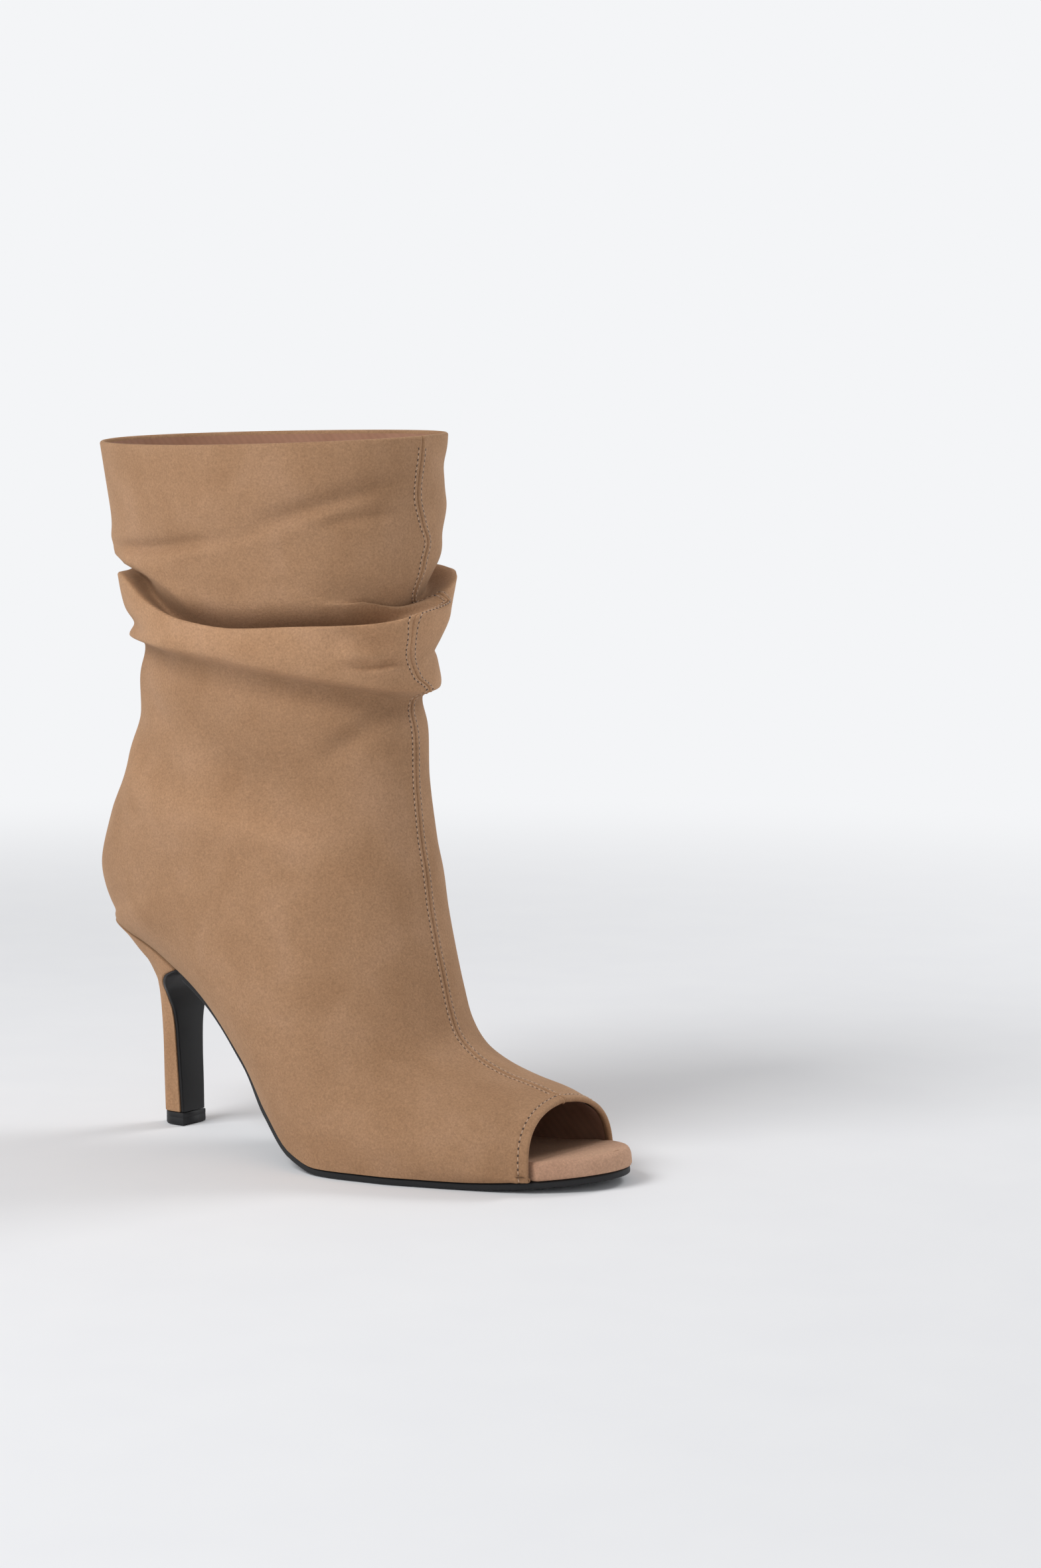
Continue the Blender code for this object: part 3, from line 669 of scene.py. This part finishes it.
# %% Other materials
def woven_lining(name, deep, body):
    material = new_material(name)
    place = node(material, "ShaderNodeTexCoord", {}).outputs["Object"]
    twill = node(material, "ShaderNodeTexWave", {
        "Vector": place, "Scale": per_metre(0.9) / (2 * np.pi), "Distortion": 0.6, "Detail": 1.0},
        bands_direction="DIAGONAL")
    clouds = node(material, "ShaderNodeTexNoise", {"Vector": place, "Scale": per_metre(9), "Detail": 3.0})
    mixed = node(material, "ShaderNodeMix", {
        0: clouds.outputs[0], 6: linear(deep), 7: linear(body)}, data_type="RGBA")
    shade = node(material, "ShaderNodeMapRange", {0: twill.outputs[1], 1: 0.0, 2: 1.0, 3: 0.95, 4: 1.03})
    colour = node(material, "ShaderNodeHueSaturation", {"Value": shade.outputs[0], "Color": mixed.outputs[2]})
    weave = node(material, "ShaderNodeBump", {
        "Height": twill.outputs[1], "Strength": 0.5, "Distance": 0.08 * MM})
    cloth = node(material, "ShaderNodeBsdfPrincipled", {
        "Base Color": colour.outputs[0], "Roughness": 0.78, "Normal": weave.outputs[0],
        "Sheen Weight": 0.15, "Sheen Roughness": 0.4, "Sheen Tint": linear("#f4d8ca")})
    return finish_with(material, cloth)


def spun_thread(name, deep, body):
    material = new_material(name)
    place = node(material, "ShaderNodeTexCoord", {}).outputs["Object"]
    plies = node(material, "ShaderNodeTexNoise", {"Vector": place, "Scale": per_metre(0.5), "Detail": 2.0})
    mixed = node(material, "ShaderNodeMix", {
        0: plies.outputs[0], 6: linear(deep), 7: linear(body)}, data_type="RGBA")
    twist = node(material, "ShaderNodeBump", {"Height": plies.outputs[0], "Strength": 0.4, "Distance": 0.05 * MM})
    thread = node(material, "ShaderNodeBsdfPrincipled", {
        "Base Color": mixed.outputs[2], "Roughness": 0.62, "Normal": twist.outputs[0], "Sheen Weight": 0.1})
    return finish_with(material, thread)


def black_face(name, body, scuff, rough, pebble, depth):
    """Black rubber or plastic: pebbles of the mould, and paler rubbed patches that are also duller."""
    material = new_material(name)
    place = node(material, "ShaderNodeTexCoord", {}).outputs["Object"]
    pebbles = node(material, "ShaderNodeTexVoronoi", {"Vector": place, "Scale": per_metre(pebble)},
                   feature="SMOOTH_F1")
    rubs = node(material, "ShaderNodeTexNoise", {"Vector": place, "Scale": per_metre(6), "Detail": 4.0})
    mixed = node(material, "ShaderNodeMix", {
        0: rubs.outputs[0], 6: linear(body), 7: linear(scuff)}, data_type="RGBA")
    dull = node(material, "ShaderNodeMapRange", {
        0: rubs.outputs[0], 1: 0.3, 2: 0.7, 3: rough - 0.06, 4: rough + 0.08})
    grain = node(material, "ShaderNodeBump", {
        "Height": pebbles.outputs[0], "Strength": 0.5, "Distance": depth * MM})
    face = node(material, "ShaderNodeBsdfPrincipled", {
        "Base Color": mixed.outputs[2], "Roughness": dull.outputs[0], "Normal": grain.outputs[0], "Specular IOR Level": 0.35})
    return finish_with(material, face)


lining_cloth = woven_lining("woven_polyester_lining", "#93684f", "#ac8168")
tan_thread = spun_thread("tan_polyester_thread", "#a5846a", "#c6a78c")
# The needle holes' colour is painted shade: dark discs stand where the holes are.
needle_hole_shade = spun_thread("needle_hole_painted_shade", "#3a281c", "#4c3626")
sole_rubber = black_face("black_sheet_rubber", "#131314", "#202022", 0.55, 0.9, 0.06)
facing_plastic = black_face("black_facing_sheet", "#09090a", "#121214", 0.36, 1.4, 0.02)
top_rubber = black_face("moulded_black_rubber", "#121213", "#212123", 0.52, 0.7, 0.05)
print(len(bpy.data.materials), "materials")

# %% [markdown]
# ## The upper
#
# The real upper is two pieces of suede cloth, joined by a seam down the front. Its rows of points run
# round the boot, packed close in the slouch, where they follow the lip so that its edge stays crisp. Its
# columns run up the boot, packed close at the seam, where they stand at fixed distances in millimetres, so
# the seam and its stitches have the same width from the toe to the collar.

# %% Rows and columns of the upper
ROW_MARKS = [
    # section, rows below it
    (0.0, 0),
    (0.5, 16),
    (2.0, 32),
    (12.0, 104),
    (15.8, 142),
    (20.3, 268),
    (21.0, 282),
]
NEAR_SEAM = np.array([0.15, 0.3, 0.45, 0.6, 0.8, 1.0, 1.25, 1.5, 1.75, 2.0, 2.3, 2.7, 3.2, 3.9, 4.8, 6.0]) * MM
FAR_COLUMNS = 92
SEAM_SWAY = [
    # height, turn: the seam is drawn aside inside the folds
    (0.000, 0.000),
    (0.620, 0.000),
    (0.655, 0.014),
    (0.676, -0.012),
    (0.728, -0.030),
    (0.742, -0.026),
    (0.768, 0.040),
    (0.792, 0.030),
    (0.806, 0.006),
    (0.830, 0.004),
    (0.858, 0.011),
    (0.885, 0.000),
    (0.920, -0.007),
    (1.000, -0.004),
]


def upper_rows():
    mark, rows = columns(ROW_MARKS)
    return np.interp(np.arange(rows[-1] + 1), rows, mark)[:, None]


def follow_lip(s, across):
    """Rows rise and fall with the outer lip's line by 12 sections for each share of height."""
    low, high = SEAT + 0.42 * (TOP - SEAT), TOP
    near = np.sin(np.pi * np.clip((s - low) / (high - low), 0, 1)) ** 2
    line = line_round(0.790, 0.747, 0.762, 0.790, across / 2)
    return s + near * 12.0 * (line - 0.7723)


def seam_columns(s):
    """across for each row: fixed distances in mm beside the seam, then even steps to the ends."""
    small = 1e-3
    sides = []
    for sign in (-1, 1):
        rate = np.linalg.norm(last_form(s, sign * small + 0 * s) - last_form(s, 0 * s), axis=-1) / small
        near = np.minimum(NEAR_SEAM / rate, 0.5)
        far = near[:, -1:] + (1 - near[:, -1:]) * np.arange(1, FAR_COLUMNS + 1) / FAR_COLUMNS
        sides.append(sign * np.concatenate([near, far], 1))
    return np.concatenate([sides[0][:, ::-1], 0 * s, sides[1]], 1)


def sway(s, across):
    """The front seam drawn aside: across moves by twice the table's turn, fading to the sides."""
    knots, turn = columns(SEAM_SWAY)
    height = section_lines(s)[0][1] / COLLAR_HEIGHT
    aside = 2 * smooth(knots, turn, height)
    return across + aside * (1 - ramp(np.abs(across), 0.02, 0.55))


rows = upper_rows()
across = seam_columns(rows)
row_places = follow_lip(rows, across)
column_places = sway(row_places, across)
from_seam = np.concatenate([-NEAR_SEAM[::-1], [0], NEAR_SEAM])
seam_at = FAR_COLUMNS + len(NEAR_SEAM)
print("upper grid:", across.shape)

# %% [markdown]
# ### Seam, stitches and edges as relief
#
# A pressed-open seam is a fine valley between two low welts, because the cloth's edges are turned under
# on both sides. Each row of stitches pulls the cloth in a little. Both open edges, at the collar and at
# the toe, are turned over a fine cord: the surface runs over a half circle and down inside.

# %% Relief and rolled edges
SEAM_VALLEY = 0.38 * MM
SEAM_WELT = 0.32 * MM
STITCH_FROM_SEAM = NEAR_SEAM[8]
PEEP_STITCH = 0.20               # the toe's stitch row, in sections from the edge
ROLL = 0.9 * MM                  # half the thickness of a turned edge


def seam_relief(distance):
    """-valley exp(-(d/0.3)^2) + welt exp(-((|d|-1.3)/1.2)^2) - a dent 0.14 deep at the stitches."""
    d = np.abs(distance) / MM
    valley = -SEAM_VALLEY * np.exp(-(d / 0.3) ** 2)
    welt = SEAM_WELT * np.exp(-((d - 1.3) / 1.2) ** 2)
    dent = -0.14 * MM * np.exp(-((d - STITCH_FROM_SEAM / MM) / 0.3) ** 2)
    return valley + welt + dent


def toe_relief(s):
    """The toe's turned edge: 0.3 mm proud for 3.5 mm, with the dent of its stitch row."""
    return 0.3 * MM * (1 - ramp(s, 0.26, 0.42)) - 0.16 * MM * np.exp(-((s - PEEP_STITCH) / 0.028) ** 2)


def roll_edge(points, normals, run, depth):
    """Rows that turn an edge over: run sin a, and inwards 1 - cos a, both times ROLL, then back inside."""
    angle = np.linspace(0, np.pi, 8)[1:, None, None]
    turned = points + ROLL * (np.sin(angle) * run - (1 - np.cos(angle)) * normals)
    back = np.linspace(0, 1, 4)[1:, None, None] * depth
    return np.concatenate([turned, turned[-1:] - back * run])


skin, stands_out = slouched(row_places, column_places)
closed = rows[:, 0] >= SEAT
skin[closed, -1] = skin[closed, 0]
normals = grid_normals(skin)
normals[closed, 0] = normals[closed, -1] = unit(normals[closed, 0] + normals[closed, -1])
distance = np.full(across.shape, 1.0)
distance[:, seam_at - len(NEAR_SEAM):seam_at + len(NEAR_SEAM) + 1] = from_seam
relief = seam_relief(distance) + toe_relief(row_places)
skin = skin + relief[..., None] * normals
toe_roll = roll_edge(skin[0], normals[0], unit(skin[0] - skin[1]), 4 * MM)
collar_roll = roll_edge(skin[-1], normals[-1], unit(skin[-1] - skin[-2]), 3 * MM)
skin_grid = np.concatenate([toe_roll[::-1], skin, collar_roll])
# Painted shade: the suede is darker where the cloth sinks into a crease and a little paler on ridges that stand out,
# as worn cloth is; the seam's valley is painted darker still.
fold_shade = np.clip(stands_out / (0.75 * SLOUCH_DEPTH), -1, 1)
fold_shade = fold_shade - 0.5 * np.exp(-(distance / (0.3 * MM)) ** 2)
fold_shade = np.concatenate([np.repeat(fold_shade[:1], len(toe_roll), 0), fold_shade,
                             np.repeat(fold_shade[-1:], len(collar_roll), 0)])
upper = add_piece("suede_upper", skin_grid, grid_faces(*skin_grid.shape[:2]), tan_suede, {"fold": fold_shade})
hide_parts("upper")

# %% [markdown]
# ## The lining
#
# The lining is cut a little smaller than the upper and hangs just inside it, so it shows only the large
# folds. It is sewn to the turned edge of the collar, where it gathers a little at the back.

# %% Lining
LINING_ROWS = 150
LINING_COLUMNS = 150
LINING_GAP = UPPER_WALL - 0.2 * MM

lining_s = np.interp(np.arange(LINING_ROWS), [0, 50, LINING_ROWS - 1], [0.06, 12.0, TOP - 0.02])[:, None]
lining_across = np.linspace(-1, 1, LINING_COLUMNS)[None, :] + 0 * lining_s
lining_form, _ = slouched(follow_lip(lining_s, lining_across), lining_across, lips=0.0, folds=0.8)
lining_closed = lining_s[:, 0] >= SEAT
lining_form[lining_closed, -1] = lining_form[lining_closed, 0]
lining_normals = grid_normals(lining_form)
lining_normals[lining_closed, 0] = unit(lining_normals[lining_closed, 0] + lining_normals[lining_closed, -1])
lining_normals[lining_closed, -1] = lining_normals[lining_closed, 0]
gather_turn = lining_across / 2
gathers = (np.sin(2 * np.pi * 62 * gather_turn) * np.exp(-((gather_turn + 0.40) / 0.035) ** 2)
           * ramp(lining_form[..., 2] / COLLAR_HEIGHT, 0.93, 0.985)) * 0.55 * MM
lining_points = lining_form - (LINING_GAP + 0.4 * MM - gathers)[..., None] * lining_normals
lining = add_piece("lining", lining_points, grid_faces(LINING_ROWS, LINING_COLUMNS)[:, ::-1], lining_cloth)

# %% [markdown]
# ## Stitches
#
# A stitch is a short length of thread that dives into its needle holes at both ends. One stitch is made as
# a small capsule, arched along the cloth, and copied to equal steps along a line of the upper. The line is
# a column or a row of the upper's own grid, so the stitches lie on the cloth wherever it folds.

# %% Stitches along a line
STITCH_RADIUS = 0.23 * MM
HOLE_RADIUS = 0.42 * MM


def steps_along(line, normals, pitch):
    """Points, directions and normals at equal steps of pitch along a line, by its summed length."""
    length = np.concatenate([[0], np.cumsum(np.linalg.norm(np.diff(line, axis=0), axis=-1))])
    at = np.arange(0.6 * pitch, length[-1] - 0.4 * pitch, pitch)
    centre = np.stack([np.interp(at, length, line[:, k]) for k in range(3)], -1)
    ahead = np.stack([np.interp(at + 0.3 * pitch, length, line[:, k]) for k in range(3)], -1)
    normal = np.stack([np.interp(at, length, normals[:, k]) for k in range(3)], -1)
    along = unit(ahead - centre)
    return centre, along, unit(normal - np.sum(normal * along, -1, keepdims=True) * along)


def stitch_points(centre, along, normal, length, lean):
    """Capsules: x = length/2 cos a along the line, radius sin^0.6 a, sunk by (x/half)^2 at the ends;
    lean turns each a little about the normal, as a locked stitch does."""
    beside = np.cross(normal, along)
    way = along * np.cos(lean) + beside * np.sin(lean)
    beside = np.cross(normal, way)
    a = np.linspace(0, np.pi, 7)[:, None]
    b = np.linspace(0, 2 * np.pi, 8, endpoint=False)[None, :]
    x = np.cos(a) * length / 2 + 0 * b
    radius = STITCH_RADIUS * np.sin(a) ** 0.6
    out = radius * np.cos(b) + 0.10 * MM - 0.34 * MM * np.cos(a) ** 2
    aside = radius * np.sin(b)
    return (centre[:, None, None] + x[None, ..., None] * way[:, None, None]
            + aside[None, ..., None] * beside[:, None, None] + out[None, ..., None] * normal[:, None, None])


def copies(faces, count, size):
    return (faces[None] + size * np.arange(count)[:, None, None]).reshape(-1, faces.shape[-1])


def add_stitches(name, line, normals, pitch, length, lean=0.12):
    centre, along, normal = steps_along(line, normals, pitch)
    points = stitch_points(centre, along, normal, length, lean)
    stitches = add_piece(name, points, copies(grid_faces(7, 8, ring=True)[:, ::-1], len(centre), 56), tan_thread)
    # Each needle hole is a small dark disc between two stitches: painted shade of the hole.
    b = np.linspace(0, 2 * np.pi, 8, endpoint=False)[None, :, None]
    mid = centre + 0.5 * pitch * along
    rim = np.array([0.05, 1.0, 1.0])[:, None, None]
    lift = np.array([0.06, 0.05, -0.12])[:, None, None] * MM
    beside = np.cross(normal, along)
    holes = (mid[:, None, None] + rim * HOLE_RADIUS * (np.cos(b) * along[:, None, None]
                                                       + np.sin(b) * beside[:, None, None])
             + lift * normal[:, None, None])
    pierced = add_piece(name + "_hole_shade", holes, copies(grid_faces(3, 8, ring=True)[:, ::-1], len(mid), 24),
                        needle_hole_shade)
    print("   ", len(centre), "stitches")


stitched_rows = rows[:, 0] < TOP - 0.08
for side, name in ((-1, "seam_stitches_outer"), (1, "seam_stitches_inner")):
    column = seam_at + side * 9
    start = int(np.argmax(rows[:, 0] > 0.32))
    add_stitches(name, skin[start:, column][stitched_rows[start:]], normals[start:, column][stitched_rows[start:]],
                 1.9 * MM, 1.35 * MM, lean=0.14 * side)
peep_row = int(np.argmin(np.abs(rows[:, 0] - PEEP_STITCH)))
add_stitches("toe_stitches", skin[peep_row], normals[peep_row], 2.3 * MM, 1.6 * MM)

# %% [markdown]
# ## The footbed
#
# The footbed is a thin board covered in the same suede. At the open toe it runs out past the upper and is
# padded to a thick rounded lip. Its edge is a quarter round, made by stepping the outline inwards as the
# surface rises. Under the heel of the foot it is dished by about a millimetre.

# %% Footbed
FOOTBED_STATIONS = 170
INSOLE_PLAY = 0.7 * MM
EDGE_ROUND = np.linspace(0, np.pi / 2, 7)


def edges(along, inset):
    """Both sides of the feather line, moved by inset along their inward normal (dy, -dx)/length."""
    x = foot_x(along)
    sides = []
    for sign, y in zip((-1, 1), feather(along)):
        run = np.gradient(x)
        turn = np.gradient(y)
        length = np.hypot(run, turn)
        sides.append((x + sign * inset * turn / length, y - sign * inset * run / length))
    return sides


def edged_rings(along, inset, profile, across_top, lift_top):
    """Rings across the foot: a left profile of (inset, lift), a row across the top, a right profile.
    The row's lift is the profile's last lift plus lift_top at shares across_top of the way over."""
    left, right = [], []
    for step, lift in profile:
        (left_x, left_y), (right_x, right_y) = edges(along, inset + step)
        left.append(on_bottom(left_x, left_y, lift))
        right.append(on_bottom(right_x, right_y, lift))
    (left_x, left_y), (right_x, right_y) = edges(along, inset + profile[-1][0])
    middle = [on_bottom(left_x + (right_x - left_x) * share, left_y + (right_y - left_y) * share,
                        profile[-1][1] + lift)
              for share, lift in zip(across_top, lift_top)]
    return np.stack(left + middle + right[::-1], 1)


peep = LASTED[0][2]
sweep = (1 - np.cos(np.linspace(0, np.pi, FOOTBED_STATIONS))) / 2
foot_along = 2e-4 + (1 - 4e-4) * sweep
free = ramp(foot_along, peep + 0.001, peep + 0.012)
thick = INSOLE_THICKNESS + np.clip((foot_along - 0.75) / 0.15, 0, 1) * (LIP_THICKNESS - INSOLE_THICKNESS)
round_x, round_z = 1.6 * MM, 0.55
footbed_profile = [(0.4 * MM, 0.0), (0.0, 0.12 * thick), (0.0, 0.28 * thick)]
footbed_profile += [(round_x * (1 - np.cos(a)) * (0.4 + 0.6 * free), thick * (1 - round_z * (1 - np.sin(a))))
                    for a in EDGE_ROUND]
top_shares = np.linspace(0, 1, 18)[1:-1]
cup = 1.1 * MM * (1 - ramp(foot_along, 0.12, 0.42)) + 0.5 * MM * (1 - free)
crown = 0.35 * MM * free
top_lifts = [(crown - cup) * 4 * share * (1 - share) for share in top_shares]
footbed_rings = edged_rings(foot_along, (UPPER_WALL + INSOLE_PLAY) * (1 - free), footbed_profile,
                            top_shares, top_lifts)
footbed = add_piece("footbed", footbed_rings, closed_loft(footbed_rings)[:, ::-1], footbed_suede)
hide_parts("insole")

# %% [markdown]
# ## The sole
#
# The sole is cut from sheet rubber, then its edge is ground round. It starts at the front of the heel and
# follows the feather line a little inside it. A fine line is cut into its underside near the edge, where
# such soles have a groove.

# %% Sole
BREAST_ALONG = 0.190             # top of the heel's front, share of FOOT_LENGTH from the seat
SOLE_EDGE = 0.7 * MM
sole_start = BREAST_ALONG + (OUTSOLE_THICKNESS + FIT) / FOOT_LENGTH
sole_along = sole_start + (1 - 2e-4 - sole_start) * np.sin(np.linspace(0, np.pi / 2, 130))
half_turn = np.linspace(0, np.pi / 2, 5)
sole_profile = [(SOLE_EDGE * (1 - np.cos(a)), -FIT - SOLE_EDGE * (1 - np.sin(a))) for a in half_turn[::-1]]
sole_profile += [(SOLE_EDGE * (1 - np.cos(a)), -FIT - OUTSOLE_THICKNESS + SOLE_EDGE * (1 - np.sin(a)))
                 for a in half_turn]
sole_profile += [(3.0 * MM, -FIT - OUTSOLE_THICKNESS), (3.3 * MM, -FIT - OUTSOLE_THICKNESS + 0.35 * MM),
                 (3.6 * MM, -FIT - OUTSOLE_THICKNESS)]
under_shares = np.linspace(0, 1, 10)[1:-1]
sole_rings = edged_rings(sole_along, OUTSOLE_INSET, sole_profile, under_shares, np.zeros(8))
sole = add_piece("sole", sole_rings, closed_loft(sole_rings), sole_rubber)
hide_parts("outsole")

# %% [markdown]
# ## The heel, its facing and its top piece
#
# A slim heel is moulded in hard plastic and covered in the upper's suede, which is pulled round the sides
# and glued under the black facing at the front. Its section changes from the top piece's D to the seat's
# horseshoe. The table gives how far its front, back and sides have gone over on the way up.

# %% Heel sections
HEEL = [
    # rise, front,  back,  width
    (0.000, 0.000, 0.000, 0.000),
    (0.192, -0.035, 0.034, 0.023),
    (0.383, -0.078, 0.065, 0.042),
    (0.560, -0.104, 0.135, 0.075),
    (0.677, -0.113, 0.210, 0.147),
    (0.750, -0.095, 0.350, 0.275),
    (0.824, -0.026, 0.528, 0.459),
    (0.883, 0.130, 0.719, 0.674),
    (0.950, 0.430, 0.888, 0.870),
    (1.000, 1.000, 1.000, 1.000),
]
HEEL_SIDE = 0.4                  # share of its points on the straight side of the top piece
SEAT_SIDE = 0.45                 # share of BREAST_ALONG that they cover at the seat
CORNER = 0.7 * MM                # rounding of the cover at the heel's front corners


def heel_rings(rise, front_gap, points=40, corner=0.0):
    """Rings at shares rise of the height. Each goes front, side, back and home: a point is the top
    piece's outline plus its share of the way to the seat's outline."""
    share = np.linspace(0, 1, points) ** 1.4
    floor_half = TOP_PIECE_WIDTH / 2
    straight = TOP_PIECE_DEPTH - floor_half
    side = share < HEEL_SIDE
    bend = np.clip((share - HEEL_SIDE) / (1 - HEEL_SIDE), 0, 1) * np.pi / 2
    floor_x = TOP_PIECE_DEPTH / 2 - np.where(side, share / HEEL_SIDE * straight,
                                             straight + floor_half * np.sin(bend))
    floor_y = floor_half * np.cos(bend)
    seat_along = BREAST_ALONG * np.where(side, 1 - share / HEEL_SIDE * SEAT_SIDE,
                                         (1 - SEAT_SIDE) * (1 - np.sin(bend)))
    seat_x = foot_x(seat_along)
    left, right = feather(seat_along)
    knots, front, back, width = columns(HEEL)
    front, back, width = (smooth(knots, way, rise)[:, None] for way in (front, back, width))
    softened = corner * (1 - np.clip(share / 0.012, 0, 1)) ** 2
    halves = []
    for sign, seat_y in ((-1, left), (1, right)):
        move = front + (back - front) * share
        x = floor_x + move * (seat_x - floor_x) - front_gap * (1 - share)
        y = sign * floor_y + width * (seat_y - sign * floor_y) - sign * softened
        low = TOP_PIECE_HEIGHT + FIT
        z = low + rise[:, None] * (bottom_height(seat_along) - FIT - low)
        halves.append(np.stack([x, y, z], -1))
    return np.concatenate([halves[0], halves[1][:, ::-1]], 1)


heel_rise = np.concatenate([[0.0, 0.004, 0.01], np.linspace(0.02, 1, 78)])
rings = heel_rings(heel_rise, BREAST_COVER_THICKNESS + FIT, corner=CORNER)
heel = add_piece("covered_heel", rings, closed_loft(rings), heel_suede)
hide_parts("heel")

# %% Facing of the heel's front
cover_rings = heel_rings(heel_rise, 0.0)
cover_left, cover_right = cover_rings[:, 0], cover_rings[:, -1]
cover_round = np.linspace(0, np.pi / 2, 5)
cover_steps = []
for a in cover_round:
    step = 0.3 * MM + 0.5 * MM * (1 - np.sin(a))
    ahead = -0.5 * MM * (1 - np.cos(a))
    cover_steps.append((step, ahead))
left_part = [cover_left + np.array([-BREAST_COVER_THICKNESS, 0.3 * MM, 0])]
left_part += [cover_left + np.array([ahead, step, 0]) for step, ahead in reversed(cover_steps)]
right_part = [cover_right + np.array([ahead, -step, 0]) for step, ahead in cover_steps]
right_part += [cover_right + np.array([-BREAST_COVER_THICKNESS, -0.3 * MM, 0])]
facing_rings = np.stack(left_part + right_part, 1)
facing = add_piece("heel_facing", facing_rings, closed_loft(facing_rings), facing_plastic)
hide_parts("breast_cover")

# %% Top piece, with its lower edge ground round
outline = heel_rings(np.array([0.0]), 0.0)[0]
centre = np.array([0, 0, 0])
piece_levels = [(0.0, 0.45), (0.12, 0.15), (0.45, 0.0), (2.6, 0.0), (2.75, 0.12), (2.9, 0.0), (4.35, 0.0), (4.6, 0.25)]
inward = unit((centre - outline) * np.array([1, 1, 0]))
top_rings = np.stack([outline * np.array([1, 1, 0]) + inset * MM * inward
                      + np.array([0, 0, height * MM]) * TOP_PIECE_HEIGHT / (4.6 * MM)
                      for height, inset in piece_levels])
top_piece = add_piece("top_piece_rubber", top_rings, closed_loft(top_rings), top_rubber)
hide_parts("top_piece")

# %% [markdown]
# ## Studio
#
# The boot stands in a wide pale bowl, a floor that curves up into a low wall all round, so no horizon
# shows from any side. Near the boot the floor is plain white paper that takes shadows. Further out it
# glows evenly, as a lit backdrop does. A large soft lamp high on the left lights the boot's outer side, and
# a small one behind on the right gives the soft shadow on the left.

# %% Bowl
BOOT_MIDDLE = np.array([0.07, 0.0, 0.12])
BACKDROP = "#f4f5f7"
bowl_path = np.concatenate([
    np.stack([np.linspace(0.0, 2.4, 25), np.zeros(25)], -1),
    np.stack([2.4 + 1.6 * np.sin(np.linspace(0, np.pi / 2, 17)[1:]),
              1.6 - 1.6 * np.cos(np.linspace(0, np.pi / 2, 17)[1:])], -1),
    [[4.0, 2.3]]])
round_about = np.linspace(0, 2 * np.pi, 96, endpoint=False)
bowl_points = np.stack([bowl_path[:, :1] * np.cos(round_about), bowl_path[:, :1] * np.sin(round_about),
                        np.repeat(bowl_path[:, 1:] - 0.2 * MM, 96, 1)], -1)
paper = new_material("white_paper_sweep")
paper_place = node(paper, "ShaderNodeTexCoord", {}).outputs["Object"]
paper_fibre = node(paper, "ShaderNodeTexNoise", {"Vector": paper_place, "Scale": per_metre(40), "Detail": 2.0})
paper_tone = node(paper, "ShaderNodeMix", {
    0: paper_fibre.outputs[0], 6: linear("#ebecef"), 7: linear("#eff0f2")}, data_type="RGBA")
paper_face = node(paper, "ShaderNodeBsdfDiffuse", {"Color": paper_tone.outputs[2]})
paper_glow = node(paper, "ShaderNodeEmission", {"Color": linear(BACKDROP), "Strength": 1.0})
from_boot = node(paper, "ShaderNodeVectorMath", {0: paper_place}, operation="LENGTH")
glow_share = node(paper, "ShaderNodeMapRange", {0: from_boot.outputs["Value"], 1: 0.35, 2: 1.1, 3: 0.0, 4: 1.0},
                  interpolation_type="SMOOTHSTEP")
paper_mix = node(paper, "ShaderNodeMixShader", {
    0: glow_share.outputs[0], 1: paper_face.outputs[0], 2: paper_glow.outputs[0]})
finish_with(paper, paper_mix)
bowl_mesh = bpy.data.meshes.new("paper_bowl")
bowl_mesh.from_pydata(bowl_points.reshape(-1, 3), [], grid_faces(len(bowl_path), 96, ring=True).tolist())
bowl_mesh.materials.append(paper)
bowl_mesh.shade_smooth()
bowl = bpy.data.objects.new("paper_bowl", bowl_mesh)
bpy.context.scene.collection.objects.link(bowl)

# %% Sky and lamps
world = bpy.data.worlds.new("studio")
world.use_nodes = True
world.node_tree.nodes["Background"].inputs["Color"].default_value = linear("#fdfcfb")
world.node_tree.nodes["Background"].inputs["Strength"].default_value = 0.24
bpy.context.scene.world = world
bpy.context.scene.view_settings.view_transform = "Standard"

CAMERA_TURN = np.radians(36)
to_left = np.array([-np.cos(CAMERA_TURN), -np.sin(CAMERA_TURN), 0])
to_camera = np.array([np.sin(CAMERA_TURN), -np.cos(CAMERA_TURN), 0])


def add_lamp(name, left, near, up, size, power, colour="#ffffff"):
    """Square area lamp seen from the camera at left, near and up of the boot, turned to face it."""
    from mathutils import Vector
    place = BOOT_MIDDLE + left * to_left + near * to_camera + np.array([0, 0, up])
    lamp = bpy.data.lights.new(name, "AREA")
    lamp.shape = "SQUARE"
    lamp.size = size
    lamp.energy = power
    lamp.color = linear(colour)[:3]
    holder = bpy.data.objects.new(name, lamp)
    bpy.context.scene.collection.objects.link(holder)
    holder.location = place
    holder.rotation_euler = Vector(BOOT_MIDDLE - place).to_track_quat("-Z", "Y").to_euler()
    return holder


add_lamp("key", 0.95, 0.7, 1.15, 0.8, 17.0)
add_lamp("back_right", -0.9, -0.6, 0.9, 0.5, 6.0)

# %% [markdown]
# ## Camera
#
# The place was worked out from the photograph: the camera stands 0.94 m to the boot's outer side and a
# little ahead of it, as high as the collar, turned 36 degrees and tipped down 6 degrees.

# %% Camera
from mathutils import Euler

lens = bpy.data.cameras.new("camera")
lens.lens = 80.23
lens.sensor_width = 36
lens.sensor_fit = "AUTO"
camera = bpy.data.objects.new("camera", lens)
camera.location = (0.8323, -0.9371, 0.255)
camera.rotation_euler = Euler((np.radians(90 - 6.04), 0, CAMERA_TURN))
bpy.context.scene.collection.objects.link(camera)
bpy.context.scene.camera = camera
